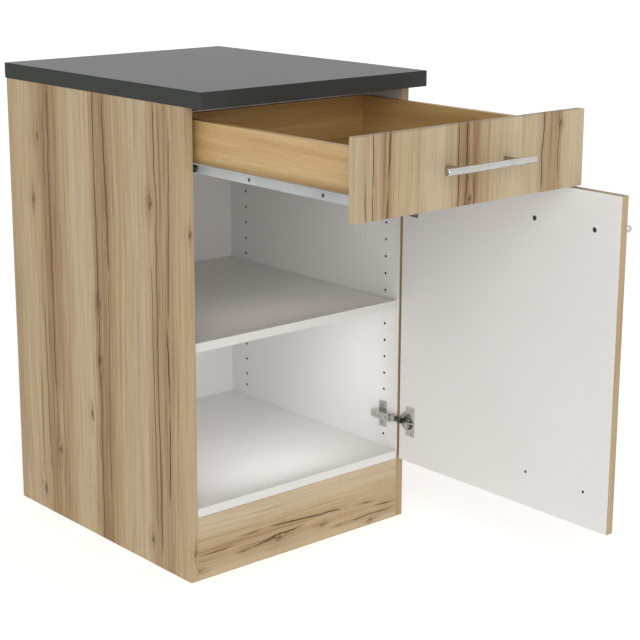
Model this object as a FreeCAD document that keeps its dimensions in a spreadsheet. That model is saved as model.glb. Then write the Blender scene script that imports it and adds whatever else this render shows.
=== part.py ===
import FreeCAD, Part
import os
import re
import Sketcher

# Kitchen base cabinet: a carcass of melamine boards under a laminate worktop, with one
# drawer on roller runners and one door on two concealed hinges.
# Frame: X across the cabinet, Y towards the wall, Z up. The origin is on the floor, midway
# between the side panels, in the plane of the carcass's front edges.
# The drawer is modelled pulled out to its stop and the door open square.

doc = FreeCAD.newDocument("base_cabinet")
sheet = doc.addObject("Spreadsheet::Sheet", "Sizes")

DIMENSIONS = [
    ("cabinet_width", 500, "across the outsides of the side panels"),
    ("carcass_height", 820, "floor to the underside of the worktop"),
    ("panel_depth", 550, "front edge to rear edge of a side panel"),
    ("board", 16, "carcass, shelf and front boards"),
    ("edge_round", 0.8, "eased edges of the visible boards"),
    ("plinth_height", 116, "floor to the underside of the base panel"),
    ("back_recess", 51, "rear edge of a side panel to the front of the back panel"),
    ("back_thickness", 3, "hardboard back panel"),
    ("groove_depth", 6, "grooves that hold thin boards"),
    ("groove_play", 0.3, "play of a thin board in its groove"),
    ("rail_depth", 100, "rails that tie the side panels under the worktop"),
    ("rail_setback", 50, "front edge of the carcass to the front rail"),
    ("overrun", 5, "how far a cutting shape runs past the face that it cuts"),
    ("worktop_thickness", 28, "laminated chipboard"),
    ("worktop_overhang", 45, "worktop in front of the side panels"),
    ("worktop_tail", 5, "worktop behind the side panels"),
    ("hole_radius", 2.5, "system holes in the side panels"),
    ("hole_depth", 11, "blind depth of a system hole"),
    ("hole_pitch", 32, "spacing of a row"),
    ("row_rise", 448, "underside of the base panel to the highest hole of a row"),
    ("row_front", 37, "front edge of the panel to the front row"),
    ("row_rear", 450, "front edge of the panel to the rear row"),
    ("row_foot", 24, "the last step down of a row"),
    ("peg_play", 0.05, "play of a pin, dowel or screw in its hole"),
    ("end_gap", 0.5, "room past the end of a pin, dowel or screw"),
    ("pin_depth", 10, "a shelf pin's length in the panel"),
    ("pin_reach", 8, "a shelf pin's length under the shelf"),
    ("pin_collar_radius", 4, "collar of a shelf pin"),
    ("pin_collar", 0.8, "thickness of that collar"),
    ("shelf_setback", 6, "front edge of the carcass to the shelf"),
    ("shelf_side_gap", 1, "each end of the shelf to the side panel"),
    ("shelf_rear_gap", 2, "shelf to the back panel"),
    ("dowel_radius", 4, "beech dowels of the carcass"),
    ("dowel_length", 30, "whole dowel"),
    ("dowel_depth", 10, "its part in the side panel"),
    ("fitting_margin", 37, "edge of the base panel to its first fitting"),
    ("fitting_spacing", 32, "cam fitting to the dowel beside it"),
    ("bolt_radius", 3, "shank of a cam bolt"),
    ("bolt_hole_radius", 3.5, "hole for that shank"),
    ("bolt_neck_radius", 2.4, "a cam bolt's screw and head"),
    ("bolt_depth", 10, "a cam bolt's length in the panel"),
    ("cam_setback", 24, "end of the board to the middle of the cam"),
    ("cam_radius", 7.4, "cam disc of the carcass"),
    ("cam_height", 12, "its height"),
    ("cam_play", 0.1, "play of a cam disc in its seat"),
    ("cam_slot", 1.6, "screwdriver slot of a cam disc"),
    ("screw_radius", 2, "chipboard and handle screws"),
    ("screw_clear_radius", 2.5, "clearance hole for them"),
    ("screw_head_radius", 4, "their pan head"),
    ("screw_head", 2, "height of that head"),
    ("head_play", 0.4, "play of a head in its recess"),
    ("worktop_bite", 15, "a worktop screw's length in the worktop"),
    ("worktop_spread", 320, "between the two screws of a rail"),
    ("nail_radius", 1, "nails of the thin boards"),
    ("nail_length", 18, "nail below its head"),
    ("nail_head_radius", 2.5, "flat head of a nail"),
    ("nail_head", 0.8, "height of that head"),
    ("nail_spread", 320, "between the outer nails of a row"),
    ("plinth_dowel_margin", 30, "upper or lower edge of the plinth board to a dowel"),
    ("block_spread", 300, "between the corner blocks behind the plinth"),
    ("block_width", 40, "corner block along the plinth"),
    ("block_leg", 22, "leg of a corner block"),
    ("block_wall", 4, "wall of a corner block"),
    ("block_bite", 12, "a corner block screw's length in the board"),
    ("front_gap", 2, "carcass to the back of a closed front"),
    ("front_side_gap", 2, "side of a front to the outside of the cabinet"),
    ("front_top_gap", 3, "worktop to the drawer front"),
    ("front_reveal", 4, "drawer front to the door"),
    ("drawer_front_height", 125, "lower edge to upper edge of the drawer front"),
    ("hinge_top_margin", 76, "upper edge of the door to the middle of the upper hinge"),
    ("hinge_foot_margin", 80, "lower edge of the door to the middle of the lower hinge"),
    ("drawer_travel", 388, "closed to the stop of the runners"),
    ("drawer_length", 480, "drawer sides"),
    ("drawer_board", 12, "drawer sides and back"),
    ("drawer_height", 85, "drawer sides"),
    ("drawer_drop", 24, "underside of the worktop to the top of the drawer sides"),
    ("drawer_bottom_thickness", 3, "hardboard drawer bottom"),
    ("drawer_bottom_lift", 9, "lower edge of the sides to the drawer bottom"),
    ("drawer_dowel_radius", 3, "dowels between the sides and the front"),
    ("drawer_dowel_length", 24, "whole dowel"),
    ("drawer_dowel_depth", 9, "its part in the front"),
    ("drawer_dowel_margin", 18, "edge of a drawer side or back to a dowel or screw"),
    ("drawer_cam_radius", 6, "cam disc in a drawer side"),
    ("drawer_cam_height", 10, "its height"),
    ("drawer_screw_length", 35, "screw through a side into the back"),
    ("countersink", 2.4, "depth of a countersunk head"),
    ("runner_space", 12.5, "side panel to the drawer side"),
    ("runner_length", 450, "both members of a runner"),
    ("runner_setback", 2, "front edge of the carcass to the fixed member"),
    ("runner_sheet", 1.2, "sheet steel"),
    ("runner_height", 15, "fixed channel"),
    ("runner_shelf", 10.5, "width of its lower flange"),
    ("runner_hood", 8, "width of its upper flange"),
    ("hood_start", 16, "front end of the fixed member to its upper flange"),
    ("runner_lift", 1, "underside of the moving member to the fixed member"),
    ("runner_gap", 0.5, "fixed channel to the moving flange above it"),
    ("slide_start", 1.3, "back of the drawer front to the moving member"),
    ("slide_hood", 11, "width of the moving member's upper flange"),
    ("roller_play", 0.3, "a roller to what lies beside it"),
    ("roller_shoulder", 1, "spacer between a roller and its web"),
    ("front_roller_radius", 6.5, "roller of the fixed member"),
    ("front_roller_width", 6.5, "its width"),
    ("front_roller_margin", 5.5, "front end of the fixed member to its axle"),
    ("rear_roller_width", 5.2, "roller of the moving member"),
    ("rear_roller_margin", 10.3, "rear end of the moving member to its axle"),
    ("axle_radius", 2.5, "roller axle"),
    ("axle_head_radius", 3.8, "rivet head and spacer of an axle"),
    ("axle_head", 1, "height of that head"),
    ("roller_recess", 1, "depth of the recess in a roller's face"),
    ("roller_rim", 1.4, "rim and hub beside that recess"),
    ("stop_length", 22, "plastic block that stops the rear roller"),
    ("stop_width", 8.6, "its width"),
    ("runner_screw_first", 35, "front end of the fixed member to its first screw"),
    ("runner_screw_step", 192, "spacing of its screws"),
    ("euro_screw_depth", 10, "length of a system screw in the panel"),
    ("euro_head_radius", 3.8, "its head"),
    ("euro_head", 1.5, "height of that head"),
    ("slide_screw_first", 82.7, "front end of the moving member to its first screw"),
    ("slide_screw_step", 175, "spacing of its screws"),
    ("slide_screw_rise", 7.2, "foot of the moving member to its screws"),
    ("slide_screw_length", 10, "their length in the drawer side"),
    ("slide_head_radius", 3, "their heads"),
    ("slide_head", 0.8, "height of those heads"),
    ("handle_spacing", 128, "between the two posts"),
    ("handle_length", 194, "whole bar"),
    ("handle_radius", 6, "round bar"),
    ("handle_chamfer", 1, "broken edge at the ends of the bar"),
    ("handle_reach", 32, "face of the front to the middle of the bar"),
    ("post_radius", 4.5, "handle post"),
    ("post_thread", 12, "a handle screw's length in its post"),
    ("handle_top_margin", 62, "upper edge of the door to its handle"),
    ("handle_edge_margin", 53, "free edge of the door to the nearer post"),
    ("pilot_radius", 2.5, "spare handle holes near the door's lower edge"),
    ("pilot_depth", 10, "their depth"),
    ("swing_inset", 7, "outside of the cabinet to the swing axis of the door"),
    ("swing_drop", 9, "front edges of the carcass to that axis"),
    ("cup_margin", 22.5, "edge of the door to the middle of a cup"),
    ("cup_radius", 17.4, "outside of the cup"),
    ("cup_wall", 0.9, "wall of the cup"),
    ("cup_depth", 12, "outside depth of the cup"),
    ("cup_play", 0.1, "play of the cup in its drilling"),
    ("flange_sheet", 1.2, "flange on the back of the door"),
    ("flange_height", 56, "its height"),
    ("flange_width", 22, "its width"),
    ("flange_offset", 7, "middle of the cup to the middle of the flange"),
    ("flange_rim", 1.3, "rim round the cup"),
    ("guide_inset", 17.8, "inner face of the door to the centre of the cup's guide cheeks"),
    ("guide_gap", 0.5, "guide cheeks to the sides of the link"),
    ("cup_screw_spacing", 45, "between the two screws of a cup"),
    ("cup_screw_offset", 9.5, "middle of the cup to its screws"),
    ("cup_screw_length", 13, "their whole length"),
    ("cup_head_radius", 3.4, "their countersunk heads"),
    ("plate_height", 50, "mounting plate on the side panel"),
    ("plate_width", 19, "its width"),
    ("plate_sheet", 2.5, "its wings"),
    ("rib_start", 22, "front edge of the carcass to the rib of the plate"),
    ("rib_length", 30, "length of that rib"),
    ("rib_width", 10.6, "its width on the panel"),
    ("rib_height", 10, "side panel to its top"),
    ("arm_top", 13.5, "side panel to the top of the hinge arm"),
    ("arm_sheet", 1.5, "sheet steel of the arm"),
    ("arm_width", 14, "its width on the panel"),
    ("arm_start", 10, "front edge of the carcass to the arm's cover"),
    ("arm_end", 57, "front edge of the carcass to the arm's rear end"),
    ("arm_gap", 0.2, "cheeks of the arm to the mounting plate"),
    ("arm_pin_inset", 3.6, "side panel to the pin in the arm"),
    ("arm_pin_depth", 1, "front edge of the carcass to that pin"),
    ("arm_eye_radius", 2.4, "metal round that pin"),
    ("arm_pin_radius", 1.5, "pin in the arm"),
    ("knee_inset", 9.1, "side panel to the knee of the link"),
    ("knee_reach", 16.1, "front edge of the carcass to that knee"),
    ("link_end_inset", 7.4, "inner face of the panel to the pin in the cup"),
    ("link_end_reach", 17.1, "front edge of the carcass to that pin"),
    ("link_thickness", 2.6, "metal of the link"),
    ("link_width", 9, "its width"),
    ("link_end_radius", 1.9, "metal round the pin in the cup"),
    ("cup_pin_radius", 1, "pin in the cup"),
    ("cup_pin_overhang", 2, "each end of that pin past the link"),
    ("adjuster_radius", 2.5, "screws in the arm"),
    ("adjuster_head_radius", 3.4, "their heads"),
    ("adjuster_head", 1.2, "height of their heads"),
    ("adjuster_front", 16, "front edge of the carcass to the front screw"),
    ("adjuster_rear", 45, "front edge of the carcass to the rear screw"),
    ("adjuster_length", 6.5, "their length below the head"),
]

ALIASES = [row[0] for row in DIMENSIONS]
for number, (alias, value, note) in enumerate(DIMENSIONS, start=1):
    sheet.set(f"A{number}", alias)
    sheet.set(f"B{number}", str(value))
    sheet.set(f"C{number}", note)
    sheet.setAlias(f"B{number}", alias)
doc.recompute()

ROW_HOLES = 13
SHELF_HOLE = 5
RUNNER_SCREWS = 3
SLIDE_SCREWS = 2

LEFT = -1
RIGHT = 1
SIDES = ((LEFT, "left"), (RIGHT, "right"))
OUTWARD = {LEFT: "-X", RIGHT: "+X"}
INWARD = {LEFT: "+X", RIGHT: "-X"}
OPPOSITE = {"+X": "-X", "-X": "+X", "+Y": "-Y", "-Y": "+Y", "+Z": "-Z", "-Z": "+Z"}
TURNS = {
    "+X": FreeCAD.Rotation(FreeCAD.Vector(0, 1, 0), 90),
    "-X": FreeCAD.Rotation(FreeCAD.Vector(0, 1, 0), -90),
    "+Y": FreeCAD.Rotation(FreeCAD.Vector(1, 0, 0), -90),
    "-Y": FreeCAD.Rotation(FreeCAD.Vector(1, 0, 0), 90),
    "+Z": FreeCAD.Rotation(),
    "-Z": FreeCAD.Rotation(FreeCAD.Vector(1, 0, 0), 180),
}
WORD = re.compile(r"[a-z][a-z_]*[a-z]")

nodes = []


def bind(thing, prop, text):
    """Binds a property to a formula in which each dimension is written by its name."""
    formula = WORD.sub(lambda m: "Sizes." + m.group() if m.group() in ALIASES else m.group(), str(text))
    thing.setExpression(prop, formula)


def place(thing, point):
    for axis, text in zip("xyz", point):
        bind(thing, "Placement.Base." + axis, text)
    return thing


def moved(point, along, distance):
    """The point, moved a distance along the named direction."""
    number = "XYZ".index(along[1])
    return tuple(f"({text} {along[0]} ({distance}))" if k == number else text for k, text in enumerate(point))


def box(size, point):
    thing = doc.addObject("Part::Box", "Block")
    for prop, text in zip(("Length", "Width", "Height"), size):
        bind(thing, prop, text)
    return place(thing, point)


def rod(radius, length, point, along):
    """A cylinder that starts at the point and runs along the named direction."""
    thing = doc.addObject("Part::Cylinder", "Rod")
    bind(thing, "Radius", radius)
    bind(thing, "Height", length)
    thing.Placement = FreeCAD.Placement(FreeCAD.Vector(), TURNS[along])
    return place(thing, point)


def taper(radius, end_radius, length, point, along):
    thing = doc.addObject("Part::Cone", "Taper")
    bind(thing, "Radius1", radius)
    bind(thing, "Radius2", end_radius)
    bind(thing, "Height", length)
    thing.Placement = FreeCAD.Placement(FreeCAD.Vector(), TURNS[along])
    return place(thing, point)


def board(size, point):
    """A rectangular board with its edges eased, sketched flat and padded upwards."""
    body = doc.addObject("PartDesign::Body", "Board")
    outline = body.newObject("Sketcher::SketchObject", "Outline")
    plane = [feature for feature in body.Origin.OriginFeatures if feature.Role == "XY_Plane"][0]
    outline.AttachmentSupport = (plane, [""])
    outline.MapMode = "FlatFace"
    corners = [FreeCAD.Vector(x, y, 0) for x, y in ((0, 0), (1, 0), (1, 1), (0, 1))]
    for start, end in zip(corners, corners[1:] + corners[:1]):
        outline.addGeometry(Part.LineSegment(start, end), False)
    for line in range(len(corners)):
        outline.addConstraint(Sketcher.Constraint("Coincident", line, 2, (line + 1) % len(corners), 1))
        outline.addConstraint(Sketcher.Constraint("Vertical" if line % 2 else "Horizontal", line))
    outline.addConstraint(Sketcher.Constraint("Coincident", 0, 1, -1, 1))
    across = outline.addConstraint(Sketcher.Constraint("DistanceX", 0, 1, 0, 2, 1))
    deep = outline.addConstraint(Sketcher.Constraint("DistanceY", 1, 1, 1, 2, 1))
    bind(outline, f"Constraints[{across}]", size[0])
    bind(outline, f"Constraints[{deep}]", size[1])
    pad = body.newObject("PartDesign::Pad", "Thickness")
    pad.Profile = outline
    bind(pad, "Length", size[2])
    doc.recompute()
    eased = body.newObject("PartDesign::Fillet", "Easing")
    eased.Base = (pad, [])
    eased.UseAllEdges = True
    bind(eased, "Radius", "edge_round")
    return place(body, point)


def fused(parts):
    if len(parts) == 1:
        return parts[0]
    thing = doc.addObject("Part::MultiFuse", "Joined")
    thing.Shapes = parts
    return thing


def cut(base, cutters):
    thing = doc.addObject("Part::Cut", "Worked")
    thing.Base = base
    thing.Tool = fused(cutters)
    return thing


def node(name, *parts):
    """Names a piece. Several like pieces share a node and stay separate solids."""
    thing = parts[0]
    if len(parts) > 1:
        thing = doc.addObject("Part::Compound", "Group")
        thing.Links = list(parts)
    thing.Label = name
    nodes.append(thing)


def at(side, distance):
    """A place on one side of the middle, at a distance from it."""
    return f"({side} * ({distance}))"


def span(side, near, far):
    """The lower X of a span between two distances from the middle."""
    return f"(-({far}))" if side == LEFT else f"({near})"


def inset(side, near, far):
    """The lower X of a span between two distances from a side panel's inner face."""
    return span(side, f"{inner} - ({far})", f"{inner} - ({near})")


inner = "(cabinet_width / 2 - board)"
outer = "(cabinet_width / 2)"
back_front = "(panel_depth - back_recess)"
base_middle = "(plinth_height + board / 2)"
rail_middle = "(carcass_height - board / 2)"
front_half = "(cabinet_width / 2 - front_side_gap)"
front_bottom = "(carcass_height - front_top_gap - drawer_front_height)"
door_top = f"({front_bottom} - front_reveal)"
row_top = "(plinth_height + row_rise)"

# Where the knock-down fittings sit along each board that ends at the side panels.
rail_places = ("(rail_setback + rail_depth / 2)", f"({back_front} - rail_depth / 2)")
cam_places = [(y, base_middle) for y in ("fitting_margin", f"({back_front} - fitting_margin)")]
cam_places += [(f"({y} - fitting_spacing / 2)", rail_middle) for y in rail_places]
dowel_places = [("(fitting_margin + fitting_spacing)", base_middle)]
dowel_places += [(f"({back_front} - fitting_margin - fitting_spacing)", base_middle)]
dowel_places += [(f"({y} + fitting_spacing / 2)", rail_middle) for y in rail_places]
dowel_places += [("(board / 2)", z) for z in ("plinth_dowel_margin", "(plinth_height - plinth_dowel_margin)")]
base_cams, rail_cams = cam_places[:2], cam_places[2:]
base_dowels, rail_dowels, plinth_dowels = dowel_places[:2], dowel_places[2:4], dowel_places[4:]


def dowel_start(side, y, z):
    return (at(side, f"{inner} + dowel_depth"), y, z)


def dowel_hole(side, y, z):
    start = moved(dowel_start(side, y, z), OUTWARD[side], "end_gap")
    return rod("dowel_radius + peg_play", "dowel_length + 2 * end_gap", start, INWARD[side])


def bolt_hole(side, y, z):
    return rod("bolt_hole_radius", "cam_setback", (at(side, inner), y, z), INWARD[side])


def cam_point(side, y, z):
    """The middle of a cam's lower face, on the underside of its board."""
    return (at(side, f"{inner} - cam_setback"), y, f"({z} - board / 2)")


def cam_seat(side, y, z):
    start = moved(cam_point(side, y, z), "-Z", "overrun")
    return rod("cam_radius + cam_play", "cam_height + overrun", start, "+Z")


def cam_bolt(point, into, disc_radius):
    """Screwed into one board, with its shank in the end of the other and its head in the cam."""
    away = OPPOSITE[into]
    screw = rod("bolt_neck_radius", "bolt_depth", point, into)
    shank = rod("bolt_radius", f"cam_setback - {disc_radius}", point, away)
    head = rod("bolt_neck_radius", "cam_setback", point, away)
    return fused([screw, shank, head])


def cam_disc(radius, height, point, along, lift, towards):
    """A disc with a mouth for the bolt's head and a screwdriver slot in its face."""
    mouth = rod("bolt_hole_radius", f"{radius} + overrun", moved(point, along, lift), towards)
    size = ["cam_slot", "cam_slot", "cam_slot"]
    size["XYZ".index(towards[1])] = radius
    start = point
    for axis, length in zip("XYZ", size):
        start = moved(start, "-" + axis, f"{length} / 2")
    return cut(rod(radius, height, point, along), [mouth, box(size, start)])


# The middle of each hinge. Its two screws are one step of the row apart.
HINGE_HEIGHTS = {
    "upper": f"({door_top} - hinge_top_margin)",
    "lower": "(plinth_height + hinge_foot_margin)",
}


def hinge_screw_heights(word):
    return [f"({HINGE_HEIGHTS[word]} + {step} * hole_pitch / 2)" for step in (1, -1)]


side_bottom = "(carcass_height - drawer_drop - drawer_height)"
runner_base = f"({side_bottom} - runner_sheet + runner_lift)"
runner_middle = f"({runner_base} + runner_height / 2)"
runner_screw_places = [
    f"(runner_setback + runner_screw_first + {number} * runner_screw_step)" for number in range(RUNNER_SCREWS)
]


def system_hole(side, y, z):
    return rod("hole_radius", "hole_depth", (at(side, inner), y, z), OUTWARD[side])


# Side panels: decor boards that stand on the floor. Each has a groove for the back panel,
# two rows of system holes and the drillings of every fitting that ends in it.
row_heights = [f"({row_top} - {number} * hole_pitch)" for number in range(ROW_HOLES)]
row_heights.append(f"({row_heights[-1]} - row_foot)")
for side, word in SIDES:
    drillings = [box(
        (
            "groove_depth + overrun", "back_thickness + groove_play",
            "carcass_height - plinth_height + overrun",
        ),
        (span(side, f"{inner} - overrun", f"{inner} + groove_depth"), back_front, "plinth_height"),
    )]
    drillings += [system_hole(side, y, z) for y in ("row_front", "row_rear") for z in row_heights]
    drillings += [system_hole(side, y, z) for y, z in cam_places]
    drillings += [system_hole(side, y, runner_middle) for y in runner_screw_places]
    drillings += [dowel_hole(side, y, z) for y, z in dowel_places]
    if side == RIGHT:
        drillings += [system_hole(side, "row_front", z) for z in hinge_screw_heights("upper")]
    panel = board(("board", "panel_depth", "carcass_height"), (span(side, inner, outer), 0, 0))
    node("side_panel_" + word, cut(panel, drillings))

# Base panel: between the side panels, with its cams let into the underside.
block_places = [at(side, "block_spread / 2") for side, word in SIDES]
block_lift_y = "(board + (block_leg + block_wall) / 2)"
block_screw_z = "(plinth_height - (block_leg + block_wall) / 2)"
nail_places = [f"({step} * nail_spread / 2)" for step in (-1, 0, 1)]
screw_pilot = "(screw_radius + peg_play)"
nail_pilot = "(nail_radius + peg_play)"


def back_nail_hole(x, z):
    return rod(nail_pilot, "nail_length + end_gap", (x, f"{back_front} + back_thickness", z), "-Y")


seats = []
for side, word in SIDES:
    seats += [bolt_hole(side, y, z) for y, z in base_cams]
    seats += [cam_seat(side, y, z) for y, z in base_cams]
    seats += [dowel_hole(side, y, z) for y, z in base_dowels]
block_feet = [(x, block_lift_y, "plinth_height") for x in block_places]
seats += [rod(screw_pilot, "block_bite + end_gap", foot, "+Z") for foot in block_feet]
seats += [back_nail_hole(x, base_middle) for x in nail_places]
base = board((f"2 * {inner}", back_front, "board"), (f"-{inner}", 0, "plinth_height"))
node("base_panel", cut(base, seats))

# Rails: two flat boards that tie the side panels together and carry the worktop.
for name, middle, cam, peg in zip(("front_rail", "rear_rail"), rail_places, rail_cams, rail_dowels):
    seats = []
    for side, word in SIDES:
        seats += [bolt_hole(side, *cam), cam_seat(side, *cam), dowel_hole(side, *peg)]
        start = (at(side, "worktop_spread / 2"), middle, "carcass_height - board - overrun")
        seats.append(rod("screw_clear_radius", "board + 2 * overrun", start, "+Z"))
    if name == "rear_rail":
        seats += [back_nail_hole(x, rail_middle) for x in nail_places]
    corner = (f"-{inner}", f"{middle} - rail_depth / 2", "carcass_height - board")
    node(name, cut(box((f"2 * {inner}", "rail_depth", "board"), corner), seats))

# Plinth board: between the side panels, flush with their front edges, down to the floor.
seats = [dowel_hole(side, y, z) for side, word in SIDES for y, z in plinth_dowels]
seats += [rod(screw_pilot, "block_bite + end_gap", (x, "board", block_screw_z), "-Y") for x in block_places]
node("plinth_board", cut(box((f"2 * {inner}", "board", "plinth_height"), (f"-{inner}", 0, 0)), seats))

# Back panel: white hardboard in the grooves of the side panels, nailed to the base panel
# and the rear rail.
back_half = f"({inner} + groove_depth - groove_play)"
back = box(
    (f"2 * {back_half}", "back_thickness", "carcass_height - plinth_height - groove_play"),
    (f"-{back_half}", back_front, "plinth_height"),
)
node("back_panel", cut(back, [back_nail_hole(x, z) for z in (base_middle, rail_middle) for x in nail_places]))


def nail(point, along):
    """A nail whose head lies on the face where the point is."""
    return fused([
        rod("nail_radius", "nail_length", point, along),
        rod("nail_head_radius", "nail_head", point, OPPOSITE[along]),
    ])


node("back_nails", *[
    nail((x, f"({back_front} + back_thickness)", z), "-Y")
    for z in (base_middle, rail_middle) for x in nail_places
])


def pan_screw(length, point, along):
    """A screw whose head lies on the face where the point is."""
    return fused([
        rod("screw_radius", length, point, along),
        rod("screw_head_radius", "screw_head", point, OPPOSITE[along]),
    ])


# Corner blocks behind the plinth: plastic angles, each screwed to the plinth board and up
# into the base panel.
blocks = []
carcass_screws = []
for x in block_places:
    corner = f"{x} - block_width / 2"
    upright = box(("block_width", "block_wall", "block_leg"), (corner, "board", "plinth_height - block_leg"))
    flat = box(("block_width", "block_leg", "block_wall"), (corner, "board", "plinth_height - block_wall"))
    to_plinth = (x, "(board + block_wall)", block_screw_z)
    to_base = (x, block_lift_y, "(plinth_height - block_wall)")
    holes = [
        rod("screw_clear_radius", "block_wall + 2 * overrun", moved(to_plinth, "+Y", "overrun"), "-Y"),
        rod("screw_clear_radius", "block_wall + 2 * overrun", moved(to_base, "-Z", "overrun"), "+Z"),
    ]
    blocks.append(cut(fused([upright, flat]), holes))
    carcass_screws.append(pan_screw("block_wall + block_bite", to_plinth, "-Y"))
    carcass_screws.append(pan_screw("block_wall + block_bite", to_base, "+Z"))
node("plinth_blocks", *blocks)

# Dowels, cam bolts and cam discs of the carcass.
node("dowels", *[
    rod("dowel_radius", "dowel_length", dowel_start(side, y, z), INWARD[side])
    for side, word in SIDES for y, z in dowel_places
])
node("cam_bolts", *[
    cam_bolt((at(side, inner), y, z), OUTWARD[side], "cam_radius")
    for side, word in SIDES for y, z in cam_places
])
node("cam_discs", *[
    cam_disc("cam_radius", "cam_height", cam_point(side, y, z), "+Z", "board / 2", OUTWARD[side])
    for side, word in SIDES for y, z in cam_places
])

# Worktop: square-edged laminate, screwed up through the two rails.
seats = []
for y in rail_places:
    for side, word in SIDES:
        x = at(side, "worktop_spread / 2")
        seats.append(rod(screw_pilot, "worktop_bite + end_gap", (x, y, "carcass_height"), "+Z"))
        carcass_screws.append(pan_screw("board + worktop_bite", (x, y, "(carcass_height - board)"), "+Z"))
worktop = board(
    ("cabinet_width", "worktop_overhang + panel_depth + worktop_tail", "worktop_thickness"),
    (f"-{outer}", "-worktop_overhang", "carcass_height"),
)
node("worktop", cut(worktop, seats))
node("carcass_screws", *carcass_screws)

# Shelf: loose on four steel pins, so it can be set at any hole of the rows.
pin_radius = "(hole_radius - peg_play)"
pin_height = f"({row_top} - {SHELF_HOLE} * hole_pitch)"
node("shelf", board(
    (f"2 * ({inner} - shelf_side_gap)", f"{back_front} - shelf_rear_gap - shelf_setback", "board"),
    (f"-({inner} - shelf_side_gap)", "shelf_setback", f"{pin_height} + {pin_radius}"),
))
pins = []
for side, word in SIDES:
    for y in ("row_front", "row_rear"):
        start = (at(side, f"{inner} + pin_depth"), y, pin_height)
        shank = rod(pin_radius, "pin_depth + pin_reach", start, INWARD[side])
        collar = rod("pin_collar_radius", "pin_collar", (at(side, inner), y, pin_height), INWARD[side])
        pins.append(fused([shank, collar]))
node("shelf_pins", *pins)

# Where the drawer stands, pulled out to its stop.
front_back = "(-front_gap - drawer_travel)"
front_face = f"({front_back} - board)"
drawer_outer = f"({inner} - runner_space)"
drawer_inner = f"({drawer_outer} - drawer_board)"
drawer_middle = f"({drawer_outer} - drawer_board / 2)"
drawer_rear = f"({front_back} + drawer_length)"
drawer_top = f"({side_bottom} + drawer_height)"
floor_bottom = f"({side_bottom} + drawer_bottom_lift)"
floor_top = f"({floor_bottom} + drawer_bottom_thickness)"

# Roller runners. The fixed member is a channel on the side panel with a roller at its front
# end. The moving member is an angle under the drawer side with a roller at its rear end.
slide_front = f"({front_back} + slide_start)"
slide_base = f"({side_bottom} - runner_sheet)"
slide_top = f"({runner_base} + runner_height + runner_gap + runner_sheet)"
front_roller_y = "(runner_setback + front_roller_margin)"
front_roller_z = f"({slide_top} - runner_sheet - roller_play - front_roller_radius)"
rear_roller_radius = "(runner_height / 2 - runner_sheet - roller_play)"
rear_roller_y = f"({slide_front} + runner_length - rear_roller_margin)"
slide_web = "(runner_space - runner_sheet)"
axle_seat = "(axle_radius + peg_play)"
roller_room = "(roller_shoulder + roller_play)"


def fixed_member(side):
    web = box(
        ("runner_sheet", "runner_length", "runner_height"),
        (inset(side, 0, "runner_sheet"), "runner_setback", runner_base),
    )
    shelf = box(
        ("runner_shelf", "runner_length", "runner_sheet"),
        (inset(side, 0, "runner_shelf"), "runner_setback", runner_base),
    )
    hood = box(
        ("runner_hood", "runner_length - hood_start", "runner_sheet"), (
            inset(side, 0, "runner_hood"), "runner_setback + hood_start",
            f"{runner_base} + runner_height - runner_sheet",
        ),
    )
    start = (at(side, f"{inner} + overrun"), front_roller_y, front_roller_z)
    holes = [rod(axle_seat, "runner_sheet + 2 * overrun", start, INWARD[side])]
    for y in runner_screw_places:
        start = (at(side, f"{inner} + overrun"), y, runner_middle)
        holes.append(rod("hole_radius", "runner_sheet + 2 * overrun", start, INWARD[side]))
    return cut(fused([web, shelf, hood]), holes)


def slide_screw_points(side):
    """Where the moving member's screws pass through the outside of its web."""
    first = f"{slide_front} + slide_screw_first"
    return [
        (at(side, f"{inner} - {slide_web}"), f"({first} + {number} * slide_screw_step)",
         f"({slide_base} + slide_screw_rise)")
        for number in range(SLIDE_SCREWS)
    ]


def moving_member(side):
    web = box(
        ("runner_sheet", "runner_length", f"{slide_top} - {slide_base}"),
        (inset(side, slide_web, "runner_space"), slide_front, slide_base),
    )
    hood = box(
        ("slide_hood", "runner_length", "runner_sheet"),
        (
            inset(side, "runner_space - slide_hood", "runner_space"), slide_front,
            f"{slide_top} - runner_sheet",
        ),
    )
    foot = box(
        ("runner_sheet + drawer_board", "runner_length", "runner_sheet"),
        (inset(side, slide_web, "runner_space + drawer_board"), slide_front, slide_base),
    )
    start = (at(side, f"{inner} - {slide_web} + overrun"), rear_roller_y, runner_middle)
    holes = [rod(axle_seat, "runner_sheet + overrun", start, INWARD[side])]
    for point in slide_screw_points(side):
        start = moved(point, OUTWARD[side], "overrun")
        holes.append(rod(screw_pilot, "runner_sheet + 2 * overrun", start, INWARD[side]))
    return cut(fused([web, hood, foot]), holes)


def roller(radius, width, point, along):
    """A nylon wheel that starts at the point, with a ring recessed into its far face."""
    face = moved(point, along, f"{width} - roller_recess")
    ring = rod(f"{radius} - roller_rim", "roller_recess + overrun", face, along)
    hub = rod("axle_radius + roller_rim", "roller_recess + overrun", face, along)
    bore = rod(axle_seat, f"{width} + 2 * overrun", moved(point, OPPOSITE[along], "overrun"), along)
    return cut(rod(radius, width, point, along), [cut(ring, [hub]), bore])


def axle(width, point, along):
    """Riveted into its web at the point, with a spacer, a bearing length and a head."""
    start = moved(point, OPPOSITE[along], "runner_sheet")
    head = moved(point, along, f"{roller_room} + {width} + roller_play")
    return fused([
        rod("axle_radius", f"runner_sheet + {roller_room} + {width} + roller_play", start, along),
        rod("axle_head_radius", "roller_shoulder", point, along),
        rod("axle_head_radius", "axle_head", head, along),
    ])


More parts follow.
